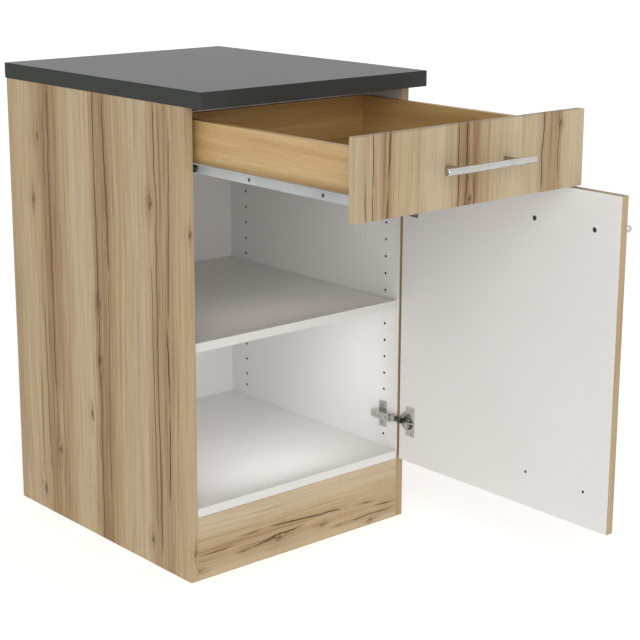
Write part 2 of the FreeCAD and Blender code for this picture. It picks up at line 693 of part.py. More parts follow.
def stop_block(side):
    """A plastic block clipped into the channel, just in front of the pulled out rear roller."""
    depth_start = f"({rear_roller_y} - {rear_roller_radius} - roller_play - stop_length)"
    block = box(
        ("stop_width", "stop_length", "runner_height - 2 * runner_sheet"),
        (
            inset(side, "runner_sheet", "runner_sheet + stop_width"), depth_start,
            f"{runner_base} + runner_sheet",
        ),
    )
    recess = rod(
        "euro_head_radius + head_play", "euro_head + head_play + overrun",
        (at(side, f"{inner} - runner_sheet + overrun"), runner_screw_places[0], runner_middle), INWARD[side],
    )
    return cut(block, [recess])


def euro_screw(side, seat, y, z):
    """A system screw through sheet or plate of the given thickness, its head on the near face."""
    start = (at(side, f"{inner} - ({seat})"), y, z)
    return fused([
        rod(pin_radius, f"{seat} + euro_screw_depth", start, OUTWARD[side]),
        rod("euro_head_radius", "euro_head", start, INWARD[side]),
    ])


def slide_screw(point, side):
    return fused([
        rod("screw_radius", "runner_sheet + slide_screw_length", point, INWARD[side]),
        rod("slide_head_radius", "slide_head", point, OUTWARD[side]),
    ])


for side, word in SIDES:
    fixed_web = (at(side, f"{inner} - runner_sheet"), front_roller_y, front_roller_z)
    slide_face = (at(side, f"{inner} - {slide_web}"), rear_roller_y, runner_middle)
    node("cabinet_runner_" + word, fixed_member(side))
    node("front_roller_" + word, roller(
        "front_roller_radius", "front_roller_width",
        moved(fixed_web, INWARD[side], roller_room), INWARD[side],
    ))
    node("drawer_runner_" + word, moving_member(side))
    node("rear_roller_" + word, roller(
        rear_roller_radius, "rear_roller_width", moved(slide_face, OUTWARD[side], roller_room), OUTWARD[side],
    ))
node("front_roller_axles", *[
    axle(
        "front_roller_width", (at(side, f"{inner} - runner_sheet"), front_roller_y, front_roller_z),
        INWARD[side],
    )
    for side, word in SIDES
])
node("rear_roller_axles", *[
    axle(
        "rear_roller_width", (at(side, f"{inner} - {slide_web}"), rear_roller_y, runner_middle),
        OUTWARD[side],
    )
    for side, word in SIDES
])
node("runner_stops", *[stop_block(side) for side, word in SIDES])
node("runner_screws", *[
    euro_screw(side, "runner_sheet", y, runner_middle) for side, word in SIDES for y in runner_screw_places
])
node("drawer_runner_screws", *[
    slide_screw(point, side) for side, word in SIDES for point in slide_screw_points(side)
])

# Handles: a round bar on two posts, screwed on from the back of its front.
POST_STEPS = (-1, 1)


def handle_holes(faces, along):
    """The screw holes of a handle whose posts stand on the faces and point along the direction."""
    holes = []
    for face in faces:
        start = moved(face, OPPOSITE[along], "board + overrun")
        holes.append(rod("screw_clear_radius", "board + 2 * overrun", start, along))
        holes.append(rod("screw_head_radius + head_play", "screw_head + overrun", start, along))
    return holes


def handle(word, faces, middle, along, bar_along):
    """The three nodes of a handle: its bar, its posts and its screws."""
    bar_start = moved(moved(middle, along, "handle_reach"), OPPOSITE[bar_along], "handle_length / 2")
    end_radius = "handle_radius - handle_chamfer"
    straight = moved(bar_start, bar_along, "handle_chamfer")
    far_end = moved(bar_start, bar_along, "handle_length - handle_chamfer")
    node(word + "_handle_bar", fused([
        taper(end_radius, "handle_radius", "handle_chamfer", bar_start, bar_along),
        rod("handle_radius", "handle_length - 2 * handle_chamfer", straight, bar_along),
        taper("handle_radius", end_radius, "handle_chamfer", far_end, bar_along),
    ]))
    posts = []
    screws = []
    for face in faces:
        back = moved(face, OPPOSITE[along], "board")
        posts.append(cut(rod("post_radius", "handle_reach", face, along), [
            rod("handle_radius", "handle_length", bar_start, bar_along),
            rod(screw_pilot, "post_thread + end_gap", face, along),
        ]))
        screws.append(fused([
            rod("screw_radius", "board + post_thread", back, along),
            rod("screw_head_radius", "screw_head", back, along),
        ]))
    node(word + "_handle_posts", *posts)
    node(word + "_handle_screws", *screws)


# Drawer front: decor board, dowelled and cam-bolted to the drawer sides, with a groove for
# the drawer bottom.
drawer_handle_z = f"({front_bottom} + drawer_front_height / 2)"
drawer_posts = [(f"({step} * handle_spacing / 2)", front_face, drawer_handle_z) for step in POST_STEPS]
drawer_bolt_z = f"({side_bottom} + drawer_height / 2)"
drawer_dowel_places = (f"({side_bottom} + drawer_dowel_margin)", f"({drawer_top} - drawer_dowel_margin)")
drawer_dowel_seat = "(drawer_dowel_radius + peg_play)"
drawer_front = board(
    (f"2 * {front_half}", "board", "drawer_front_height"), (f"-{front_half}", front_face, front_bottom),
)
seats = handle_holes(drawer_posts, "-Y")
seats.append(box(
    (
        f"2 * ({drawer_inner} + groove_depth)", "groove_depth + overrun",
        "drawer_bottom_thickness + groove_play",
    ),
    (f"-({drawer_inner} + groove_depth)", f"{front_back} - groove_depth", floor_bottom),
))
for side, word in SIDES:
    for z in drawer_dowel_places:
        start = (at(side, drawer_middle), front_back, z)
        seats.append(rod(drawer_dowel_seat, "drawer_dowel_depth + end_gap", start, "-Y"))
    bolt_start = (at(side, drawer_middle), front_back, drawer_bolt_z)
    seats.append(rod("hole_radius", "bolt_depth + end_gap", bolt_start, "-Y"))
node("drawer_front", cut(drawer_front, seats))
handle("drawer", drawer_posts, ("0", front_face, drawer_handle_z), "-Y", "+X")

# Drawer sides and back: foil-wrapped boards. The sides end at the drawer front, and the back
# stands between them on the drawer bottom.
back_screw_y = f"({drawer_rear} - drawer_board / 2)"
back_screw_places = (f"({floor_top} + drawer_dowel_margin)", f"({drawer_top} - drawer_dowel_margin)")
drawer_screws = []
for side, word in SIDES:
    seats = [box(
        ("groove_depth + overrun", "drawer_length + 2 * overrun", "drawer_bottom_thickness + groove_play"), (
            span(side, f"{drawer_inner} - overrun", f"{drawer_inner} + groove_depth"),
            f"{front_back} - overrun", floor_bottom,
        ),
    )]
    for z in drawer_dowel_places:
        start = (at(side, drawer_middle), front_back, z)
        depth = "drawer_dowel_length - drawer_dowel_depth + end_gap"
        seats.append(rod(drawer_dowel_seat, depth, start, "+Y"))
    bolt_start = (at(side, drawer_middle), front_back, drawer_bolt_z)
    seats.append(rod("bolt_hole_radius", "cam_setback", bolt_start, "+Y"))
    cam_start = (at(side, f"{drawer_inner} - overrun"), f"{front_back} + cam_setback", drawer_bolt_z)
    seats.append(rod("drawer_cam_radius + cam_play", "drawer_cam_height + overrun", cam_start, OUTWARD[side]))
    for z in back_screw_places:
        start = (at(side, drawer_outer), back_screw_y, z)
        seats.append(rod(screw_pilot, "drawer_board + overrun", start, INWARD[side]))
        seats.append(taper("screw_head_radius + peg_play", screw_pilot, "countersink", start, INWARD[side]))
        drawer_screws.append(fused([
            rod("screw_radius", "drawer_screw_length", start, INWARD[side]),
            taper("screw_head_radius", "screw_radius", "countersink", start, INWARD[side]),
        ]))
    for point in slide_screw_points(side):
        seats.append(rod(screw_pilot, "runner_sheet + slide_screw_length + end_gap", point, INWARD[side]))
    timber = board(
        ("drawer_board", "drawer_length", "drawer_height"),
        (span(side, drawer_inner, drawer_outer), front_back, side_bottom),
    )
    node("drawer_side_" + word, cut(timber, seats))

seats = []
for side, word in SIDES:
    for z in back_screw_places:
        start = (at(side, drawer_outer), back_screw_y, z)
        seats.append(rod(screw_pilot, "drawer_screw_length + end_gap", start, INWARD[side]))
for x in nail_places:
    start = (x, back_screw_y, floor_bottom)
    seats.append(rod(nail_pilot, "nail_length + end_gap", start, "+Z"))
    drawer_screws.append(nail(start, "+Z"))
node("drawer_back", cut(
    box(
        (f"2 * {drawer_inner}", "drawer_board", f"{drawer_top} - {floor_top}"),
        (f"-{drawer_inner}", f"{drawer_rear} - drawer_board", floor_top),
    ),
    seats,
))

# Drawer bottom: hardboard in the grooves of the sides and the front, nailed up into the back.
floor_half = f"({drawer_inner} + groove_depth - groove_play)"
node("drawer_bottom", cut(
    box(
        (f"2 * {floor_half}", "drawer_length + groove_depth - groove_play", "drawer_bottom_thickness"),
        (f"-{floor_half}", f"{front_back} - groove_depth + groove_play", floor_bottom),
    ),
    [rod(nail_pilot, "nail_length", (x, back_screw_y, floor_bottom), "+Z") for x in nail_places],
))
node("drawer_screws", *drawer_screws)
node("drawer_dowels", *[
    rod("drawer_dowel_radius", "drawer_dowel_length", (
        at(side, drawer_middle), f"{front_back} - drawer_dowel_depth", z,
    ), "+Y")
    for side, word in SIDES for z in drawer_dowel_places
])
node("drawer_cam_bolts", *[
    cam_bolt((at(side, drawer_middle), front_back, drawer_bolt_z), "-Y", "drawer_cam_radius")
    for side, word in SIDES
])
node("drawer_cam_discs", *[
    cam_disc(
        "drawer_cam_radius", "drawer_cam_height",
        (at(side, drawer_inner), f"({front_back} + cam_setback)", drawer_bolt_z),
        OUTWARD[side], "drawer_board / 2", "-Y",
    )
    for side, word in SIDES
])

# Door: decor board, open square. It swings about an upright axis that the hinges set, just
# inside the outside of the cabinet and in front of the carcass.
door_inner = f"({outer} - swing_inset - swing_drop + front_gap)"
door_outer = f"({door_inner} + board)"
door_edge = "(swing_inset - front_side_gap - swing_drop)"
door_free = f"({door_edge} - 2 * {front_half})"
cup_y = f"({door_edge} - cup_margin)"
door_handle_z = f"({door_top} - handle_top_margin)"
near_post = f"({door_free} + handle_edge_margin)"
post_rows = [near_post, f"({near_post} + handle_spacing)"]
door_posts = [(door_outer, y, door_handle_z) for y in post_rows]


def cup_screw_points(word):
    """Where the two screws of a cup pass the flange's face."""
    x = f"({door_inner} - flange_sheet)"
    return [
        (x, f"({cup_y} - cup_screw_offset)", f"({HINGE_HEIGHTS[word]} + {step} * cup_screw_spacing / 2)")
        for step in POST_STEPS
    ]


seats = handle_holes(door_posts, "+X")
for y in post_rows:
    pilot = (door_inner, y, "plinth_height + handle_top_margin")
    seats.append(rod("pilot_radius", "pilot_depth", pilot, "+X"))
for word in HINGE_HEIGHTS:
    cup_start = (door_inner, cup_y, HINGE_HEIGHTS[word])
    seats.append(rod("cup_radius + cup_play", "cup_depth + cup_play", cup_start, "+X"))
    for point in cup_screw_points(word):
        seats.append(rod(screw_pilot, "cup_screw_length + end_gap", point, "+X"))
node("door_panel", cut(
    board(
        ("board", f"2 * {front_half}", f"{door_top} - plinth_height"),
        (door_inner, door_free, "plinth_height"),
    ),
    seats,
))
door_middle = (door_outer, f"({near_post} + handle_spacing / 2)", door_handle_z)
handle("door", door_posts, door_middle, "+X", "+Y")

# Concealed hinges: a cup in the door, a mounting plate and a channel-shaped arm on the side
# panel, and a cranked link between them.
arm_pin_x = f"({inner} - arm_pin_inset)"
knee_x = f"({inner} - knee_inset)"
link_end_x = f"({inner} + link_end_inset)"
adjuster_places = ("adjuster_front", "adjuster_rear")


def guide_cheek(level):
    """A round-backed cheek in the cup, just behind the path of the pin's end."""
    guide_x = f"({door_inner} + guide_inset)"
    swing = f"sqrt(({guide_x} - {link_end_x}) ^ 2 + ({cup_y} + link_end_reach) ^ 2)"
    thickness = "cup_pin_overhang - guide_gap"
    back = rod(f"{swing} - cup_pin_radius - roller_play", thickness, (guide_x, cup_y, level), "+Z")
    cheek = doc.addObject("Part::Common", "Cheek")
    cheek.Base = back
    cheek.Tool = box(("cup_depth", "2 * cup_radius", thickness), (door_inner, f"{cup_y} - cup_radius", level))
    return cheek


def hinge_cup(word):
    z = HINGE_HEIGHTS[word]
    face = (f"({door_inner} - flange_sheet)", cup_y, z)
    flange = box(
        ("flange_sheet", "flange_width", "flange_height"),
        (face[0], f"{cup_y} - flange_offset - flange_width / 2", f"{z} - flange_height / 2"),
    )
    bowl = rod("cup_radius", "flange_sheet + cup_depth", face, "+X")
    rim = rod("cup_radius + flange_rim", "flange_sheet", face, "+X")
    hollow = rod(
        "cup_radius - cup_wall", "overrun + flange_sheet + cup_depth - cup_wall",
        moved(face, "-X", "overrun"), "+X",
    )
    holes = [hollow]
    for point in cup_screw_points(word):
        holes.append(rod(screw_pilot, "flange_sheet + overrun", point, "+X"))
        holes.append(taper("cup_head_radius + peg_play", screw_pilot, "flange_sheet", point, "+X"))
    shell = cut(fused([flange, bowl, rim]), holes)
    return fused([shell] + [guide_cheek(level) for level in (
        f"({z} + link_width / 2 + guide_gap)", f"({z} - link_width / 2 - cup_pin_overhang)",
    )])


def cup_screw(point):
    return fused([
        rod("screw_radius", "cup_screw_length", point, "+X"),
        taper("cup_head_radius", "screw_radius", "flange_sheet", point, "+X"),
    ])


def hinge_plate(word):
    z = HINGE_HEIGHTS[word]
    wings = box(
        ("plate_sheet", "plate_width", "plate_height"),
        (f"{inner} - plate_sheet", "row_front - plate_width / 2", f"{z} - plate_height / 2"),
    )
    rib = box(
        ("rib_height", "rib_length", "rib_width"),
        (f"{inner} - rib_height", "rib_start", f"{z} - rib_width / 2"),
    )
    holes = [
        rod("hole_radius", "plate_sheet + 2 * overrun", (f"{inner} + overrun", "row_front", height), "-X")
        for height in hinge_screw_heights(word)
    ]
    foot = (f"{inner} - arm_top", "adjuster_rear", z)
    holes.append(rod("adjuster_radius + peg_play", "adjuster_length + end_gap", foot, "+X"))
    return cut(fused([wings, rib]), holes)


def hinge_arm(word):
    z = HINGE_HEIGHTS[word]
    cover = box(
        ("arm_sheet", "arm_end - arm_start", "arm_width"),
        (f"{inner} - arm_top", "arm_start", f"{z} - arm_width / 2"),
    )
    pieces = [cover]
    for low_z in (f"({z} - arm_width / 2)", f"({z} + arm_width / 2 - arm_sheet)"):
        pieces.append(box(
            ("arm_top - plate_sheet - arm_gap", "arm_end - arm_start", "arm_sheet"),
            (f"{inner} - arm_top", "arm_start", low_z),
        ))
        pieces.append(box(
            ("2 * arm_eye_radius", "arm_start - arm_pin_depth + arm_eye_radius", "arm_sheet"),
            (f"{arm_pin_x} - arm_eye_radius", "arm_pin_depth", low_z),
        ))
        pieces.append(rod("arm_eye_radius", "arm_sheet", (arm_pin_x, "arm_pin_depth", low_z), "+Z"))
    seat = rod(
        "arm_pin_radius + peg_play", "arm_width + 2 * overrun",
        (arm_pin_x, "arm_pin_depth", f"{z} - arm_width / 2 - overrun"), "+Z",
    )
    holes = [seat]
    for y in adjuster_places:
        start = (f"{inner} - arm_top - overrun", y, z)
        holes.append(rod("adjuster_radius + peg_play", "arm_sheet + 2 * overrun", start, "+X"))
    return cut(fused(pieces), holes)


def adjuster(word, y):
    start = (f"({inner} - arm_top)", y, HINGE_HEIGHTS[word])
    return fused([
        rod("adjuster_radius", "adjuster_length", start, "+X"),
        rod("adjuster_head_radius", "adjuster_head", start, "-X"),
    ])


def strap(start, end, z):
    """A flat bar with round ends between two points, standing on z."""
    across = f"({end[0]} - {start[0]})"
    along = f"({end[1]} - {start[1]})"
    length = f"sqrt({across} ^ 2 + {along} ^ 2)"
    bar = doc.addObject("Part::Box", "Strap")
    for prop, text in (("Length", length), ("Width", "link_thickness"), ("Height", "link_width")):
        bind(bar, prop, text)
    bar.Placement = FreeCAD.Placement(FreeCAD.Vector(), FreeCAD.Rotation(FreeCAD.Vector(0, 0, 1), -90))
    bind(bar, "Placement.Rotation.Angle", f"atan2({along}; {across})")
    corner_x = f"{start[0]} + {along} / {length} * link_thickness / 2"
    corner_y = f"{start[1]} - {across} / {length} * link_thickness / 2"
    place(bar, (corner_x, corner_y, z))
    return bar


def hinge_link(word):
    base = f"({HINGE_HEIGHTS[word]} - link_width / 2)"
    pivot = (arm_pin_x, "arm_pin_depth")
    knee = (knee_x, "(-knee_reach)")
    end = (link_end_x, "(-link_end_reach)")
    pieces = [
        strap(pivot, knee, base),
        strap(knee, end, base),
        rod("arm_eye_radius", "link_width", (*pivot, base), "+Z"),
        rod("link_thickness / 2", "link_width", (*knee, base), "+Z"),
        rod("link_end_radius", "link_width", (*end, base), "+Z"),
    ]
    holes = [
        rod("arm_pin_radius + peg_play", "link_width + 2 * overrun", (*pivot, f"{base} - overrun"), "+Z"),
        rod("cup_pin_radius + peg_play", "link_width + 2 * overrun", (*end, f"{base} - overrun"), "+Z"),
    ]
    return cut(fused(pieces), holes)


for word in HINGE_HEIGHTS:
    node(word + "_hinge_plate", hinge_plate(word))
    node(word + "_hinge_arm", hinge_arm(word))
    node(word + "_hinge_cup", hinge_cup(word))
    node(word + "_hinge_link", hinge_link(word))
node("hinge_plate_screws", *[
    euro_screw(RIGHT, "plate_sheet", "row_front", z)
    for word in HINGE_HEIGHTS for z in hinge_screw_heights(word)
])
node("hinge_adjusters", *[adjuster(word, y) for word in HINGE_HEIGHTS for y in adjuster_places])
node("hinge_arm_pins", *[
    rod("arm_pin_radius", "arm_width", (
        arm_pin_x, "arm_pin_depth", f"{HINGE_HEIGHTS[word]} - arm_width / 2",
    ), "+Z")
    for word in HINGE_HEIGHTS
])
node("hinge_cup_pins", *[
    rod("cup_pin_radius", "link_width + 2 * cup_pin_overhang", (
        link_end_x, "(-link_end_reach)", f"{HINGE_HEIGHTS[word]} - link_width / 2 - cup_pin_overhang",
    ), "+Z")
    for word in HINGE_HEIGHTS
])
node("hinge_cup_screws", *[cup_screw(point) for word in HINGE_HEIGHTS for point in cup_screw_points(word)])

doc.recompute()
for thing in doc.Objects:
    if {"Invalid", "Error"} & set(thing.State):
        raise RuntimeError(f"{thing.Label} did not build: {thing.State}")
for thing in nodes:
    shape = thing.Shape
    if shape.isNull() or not shape.isValid() or not shape.Solids:
        raise RuntimeError(f"{thing.Label} has no valid solid")

os.makedirs("parts", exist_ok=True)
for thing in nodes:
    thing.Shape.exportStep(f"parts/{thing.Label}.step")
    print(f"{thing.Label}: {len(thing.Shape.Solids)} solids, {thing.Shape.Volume:.0f} mm3")
print(len(nodes), "nodes")
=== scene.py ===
import math

import bpy
import numpy as np
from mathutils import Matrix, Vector


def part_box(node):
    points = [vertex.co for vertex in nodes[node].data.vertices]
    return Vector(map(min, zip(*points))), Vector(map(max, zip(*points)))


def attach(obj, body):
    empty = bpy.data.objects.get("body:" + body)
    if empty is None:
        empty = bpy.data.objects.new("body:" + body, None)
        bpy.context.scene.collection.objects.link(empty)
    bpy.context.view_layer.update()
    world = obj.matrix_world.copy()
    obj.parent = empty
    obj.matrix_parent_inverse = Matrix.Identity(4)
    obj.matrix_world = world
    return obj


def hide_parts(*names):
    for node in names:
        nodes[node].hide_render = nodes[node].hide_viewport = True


# Kitchen base cabinet: an oak decor carcass under a dark worktop, with its drawer pulled out
# and its door open square. Metres: X across, Y towards the wall, Z up from the floor.

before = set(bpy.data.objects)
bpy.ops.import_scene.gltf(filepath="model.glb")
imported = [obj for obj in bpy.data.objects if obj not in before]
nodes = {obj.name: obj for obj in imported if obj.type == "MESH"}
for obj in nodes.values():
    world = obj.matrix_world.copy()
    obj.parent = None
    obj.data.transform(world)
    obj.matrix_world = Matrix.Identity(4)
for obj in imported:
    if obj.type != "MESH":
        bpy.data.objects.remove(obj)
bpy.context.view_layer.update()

# Side panels.
# Two chipboard panels that stand on the floor. They have oak decor on the outside, oak edging
# on the front edge and white melamine on the inside, with open chipboard in every drilling,
# painted very dark as the shade inside the holes.


def tone(red, green, blue):
    """A colour as it looks on a screen, 0 to 255 a channel."""
    return [((channel / 255 + 0.055) / 1.055) ** 2.4 for channel in (red, green, blue)] + [1.0]


class Wire:
    """An output in a node tree, so that a formula can be written as plain arithmetic."""

    def __init__(self, tree, socket):
        self.tree, self.socket = tree, socket

    def math(self, operation, *others):
        return add(self.tree, "ShaderNodeMath", self, *others, operation=operation)

    def __add__(self, other):
        return self.math("ADD", other)

    def __sub__(self, other):
        return self.math("SUBTRACT", other)

    def __mul__(self, other):
        return self.math("MULTIPLY", other)

    def __truediv__(self, other):
        return self.math("DIVIDE", other)

    def __abs__(self):
        return self.math("ABSOLUTE")

    def ramp(self, low, high):
        """0 at low and 1 at high, held at both ends. Low may be the larger."""
        return add(self.tree, "ShaderNodeMapRange", self, low, high, 0.0, 1.0)

    def bell(self):
        """1 where the value is 0, falling away smoothly on both sides."""
        return (self * self * -1.0).math("EXPONENT")


def put(tree, socket, value):
    if isinstance(value, Wire):
        tree.links.new(value.socket, socket)
    elif value is not None:
        socket.default_value = value


def add(tree, kind, *values, output=0, **settings):
    """A node with its settings and inputs, as a wire from one of its outputs."""
    made = tree.nodes.new(kind)
    for setting, value in settings.items():
        setattr(made, setting, value)
    for socket, value in zip(made.inputs, values):
        put(tree, socket, value)
    return Wire(tree, made.outputs[output])


def mix(share, first, second):
    """Goes from the first colour to the second as the share goes from 0 to 1."""
    made = share.tree.nodes.new("ShaderNodeMix")
    made.data_type = "RGBA"
    for number, value in ((0, share), (6, first), (7, second)):
        put(share.tree, made.inputs[number], value)
    return Wire(share.tree, made.outputs[2])


class Finish:
    """A material whose nodes start from the place on the object."""

    def __init__(self, name, **fixed):
        self.material = bpy.data.materials.new(name)
        self.material.use_nodes = True
        self.tree = self.material.node_tree
        self.shader = self.tree.nodes["Principled BSDF"]
        for socket, value in fixed.items():
            self.shader.inputs[socket.replace("_", " ").title()].default_value = value
        self.place = add(self.tree, "ShaderNodeTexCoord", output=3)

    def along(self, weights):
        return add(self.tree, "ShaderNodeVectorMath", self.place, weights, output=1, operation="DOT_PRODUCT")

    def noise(self, scales, detail=2.0, place=None):
        """Noise from 0 to 1 whose grains are as many to the metre as the scales say."""
        at = add(self.tree, "ShaderNodeVectorMath", place or self.place, scales, operation="MULTIPLY")
        return add(self.tree, "ShaderNodeTexNoise", at, None, 1.0, detail)

    def point(self, *values):
        return add(self.tree, "ShaderNodeCombineXYZ", *values)

    def colour(self, wire):
        put(self.tree, self.shader.inputs["Base Color"], wire)

    def rough(self, wire, low, high):
        put(self.tree, self.shader.inputs["Roughness"], wire * (high - low) + low)

    def bump(self, wire, height):
        made = self.tree.nodes.new("ShaderNodeBump")
        made.inputs["Distance"].default_value = height
        put(self.tree, made.inputs["Height"], wire)
        self.tree.links.new(made.outputs[0], self.shader.inputs["Normal"])


UP, ACROSS, DEEP = (0, 0, 1), (1, 0, 0), (0, 1, 0)
OAK = {
    "pale": tone(195, 177, 147), "reed": tone(187, 168, 136), "sand": tone(181, 159, 125),
    "rose": tone(171, 146, 111), "bark": tone(158, 131, 96), "rust": tone(124, 93, 59),
    "rift": tone(62, 40, 22),
}
STREAKY = {"pale": 0.3, "reed": 0.35, "sand": 0.5, "rose": 0.8, "bark": 1.0}


def oak(name, grain, across, start, bands, cracks, knots, seed):
    """Knotty oak decor. Bands are tones by their place across the grain, a crack runs between
    two points, and a knot has a place and a size. Places are (across, along) in metres."""
    look = Finish(name)
    wide = look.along(across) - start
    long = look.along(grain)
    waver = look.noise((5, 2.2, 1), 2.0, look.point(wide, long, seed)) - 0.5
    broken = look.noise((8, 14, 1), 3.0, look.point(wide, long, seed + 7.7))
    ragged = look.noise((150, 70, 1), 3.0, look.point(wide, long, seed + 5.1)) - 0.5
    side = wide + waver * 0.014
    dark = broken * 0.0
    halo = broken * 0.0

    # Knots: rings round a ragged heart with a tail along the grain, and the bands bend round them.
    for knot_side, knot_long, size in knots:
        off_side = (wide - knot_side) / size + ragged * 2.2
        off_long = (long - knot_long) / (size * 1.9) + ragged * 1.4
        far = (off_side * off_side + off_long * off_long).math("SQRT")
        near = (far * far * -0.16).math("EXPONENT")
        tail = abs(off_side * 4.0).ramp(1.0, 0.4) * (off_long * 0.36).bell() * broken.ramp(0.36, 0.52)
        side = side - near * off_side * (size * 0.7)
        rings = (far * 8.0).math("SINE") * 0.35 + 0.65
        dark = dark.math("MAXIMUM", (far.ramp(1.1, 0.6) * rings).math("MAXIMUM", tail * 0.8))
        halo = halo.math("MAXIMUM", near * rings)

    # Cracks: thin broken lines that shiver a little, each in a browner zone.
    shiver = look.noise((30, 26, 1), 3.0, look.point(wide * 0.4, long, seed + 3.1)) - 0.5
    for first, last, width in cracks:
        low, high = sorted((first[1], last[1]))
        slope = (last[0] - first[0]) / (last[1] - first[1])
        line = side + shiver * 0.006 - (long - first[1]) * slope - first[0]
        reach = (long - low).ramp(0, 0.03) * (long - high).ramp(0, -0.03)
        crack = abs(line / width).ramp(1.0, 0.5) * reach * broken.ramp(0.28, 0.42)
        dark = dark.math("MAXIMUM", crack)
        halo = halo.math("MAXIMUM", (line / (width * 4)).bell() * reach * 0.5)

    # Bands: a ramp across the grain, whose alpha says how lively the grain is there.
    band = look.tree.nodes.new("ShaderNodeValToRGB")
    points = band.color_ramp.elements
    first, last = bands[0][0], bands[-1][0]
    for step, (spot, shade) in enumerate(bands):
        stop = points[step] if step < 2 else points.new(1.0)
        stop.position = (spot - first) / (last - first)
        stop.color = OAK[shade][:3] + [STREAKY[shade]]
    put(look.tree, band.inputs[0], side.ramp(first, last))
    lively = Wire(look.tree, band.outputs[1])

    # Grain: flames, streaks, hairs and pores, drawn out along the board.
    ground = look.point(side, long, seed)
    flame = look.noise((34, 1.5, 1), 4.0, ground)
    streak = look.noise((170, 3.0, 1), 3.0, ground)
    fine = look.noise((430, 7, 1), 2.0, ground)
    hair = look.noise((230, 4, 1), 2.0, ground)
    pore = look.noise((1500, 60, 1), 1.0, ground)
    shade = mix(flame.ramp(0.50, 0.76) * lively * 0.6, Wire(look.tree, band.outputs[0]), OAK["rust"])
    shade = mix(flame.ramp(0.46, 0.28) * 0.35, shade, OAK["pale"])
    shade = mix(streak.ramp(0.50, 0.70) * (lively * 0.5 + 0.05), shade, OAK["rust"])
    shade = mix(streak.ramp(0.48, 0.30) * 0.28, shade, OAK["pale"])
    shade = mix(fine.ramp(0.48, 0.72) * (lively * 0.35 + 0.10), shade, OAK["rust"])
    shade = mix(fine.ramp(0.46, 0.30) * 0.22, shade, OAK["pale"])
    shade = mix(hair.ramp(0.62, 0.66) * lively * 0.7, shade, OAK["rust"])
    shade = mix(pore.ramp(0.60, 0.74) * 0.22, shade, OAK["rift"])
    shade = mix(halo * streak.ramp(0.15, 0.60) * 0.55, shade, OAK["rust"])
    look.colour(mix(dark * 0.88, shade, OAK["rift"]))
    look.shader.inputs["Specular IOR Level"].default_value = 0.2
    look.rough(fine, 0.42, 0.62)
    look.bump(fine * 0.5 + pore * -0.4 + dark * -0.8, 0.00012)
    return look.material


def melamine():
    """White board: a faint orange peel and a slow drift in its whiteness."""
    look = Finish("White melamine")
    cloud = look.noise((6, 6, 6), 2.0)
    peel = look.noise((700, 700, 700), 1.0)
    look.colour(mix(cloud, tone(226, 225, 223), tone(232, 231, 229)))
    look.rough(peel, 0.32, 0.46)
    look.bump(peel, 0.00003)
    return look.material


def chipboard(name, glue, low, high):
    """The open core of a board: flat chips of many shades in a darker glue."""
    look = Finish(name)
    at = add(look.tree, "ShaderNodeVectorMath", look.place, (420, 420, 700), operation="MULTIPLY")
    chips = look.tree.nodes.new("ShaderNodeTexVoronoi")
    put(look.tree, chips.inputs["Vector"], at)
    edges = Wire(look.tree, chips.outputs["Distance"])
    chip = Wire(look.tree, chips.outputs["Color"])
    look.colour(mix(edges.ramp(0.35, 0.75) * 0.7, mix(chip, low, high), glue))
    look.rough(edges, 0.8, 0.95)
    look.bump(edges * -1.0, 0.0003)
    return look.material


WHITE = melamine()
CHIPS = chipboard("Raw chipboard", tone(96, 70, 44), tone(150, 118, 80), tone(205, 178, 138))
# Very dark chipboard for the walls of holes, grooves and recesses: painted shade for their depth.
SHADED_CHIPS = chipboard("Chipboard in painted hole shade", tone(38, 27, 18), tone(62, 46, 30), tone(88, 68, 46))


def clad(node, faces, deep=0.0011):
    """Gives the faces of a board their finishes. faces maps a face such as "-X" to a finish, "rest"
    is for the other sides, and what lies deeper than the eased edges is chipboard in painted shade."""
    skin, straight = 0.0004, 0.8
    mesh = nodes[node].data
    finishes = list(dict.fromkeys(list(faces.values()) + [SHADED_CHIPS]))
    mesh.materials.clear()
    for finish in finishes:
        mesh.materials.append(finish)
    count = len(mesh.polygons)
    centre = np.zeros(count * 3)
    normal = np.zeros(count * 3)
    mesh.polygons.foreach_get("center", centre)
    mesh.polygons.foreach_get("normal", normal)
    centre, normal = centre.reshape(-1, 3), normal.reshape(-1, 3)
    low, high = (np.array(corner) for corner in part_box(node))
    to_low, to_high = centre - low, high - centre
    chosen = np.full(count, finishes.index(faces["rest"]))
    for face, finish in faces.items():
        if face != "rest":
            axis = "XYZ".index(face[1])
            gap, turned = (to_high, normal[:, axis]) if face[0] == "+" else (to_low, -normal[:, axis])
            chosen[(gap[:, axis] < skin) & (turned > straight)] = finishes.index(finish)
    buried = np.minimum(to_low, to_high).min(1) > deep
    chosen[buried] = finishes.index(SHADED_CHIPS)
    mesh.polygons.foreach_set("material_index", chosen.astype(np.int32))
    mesh.update()


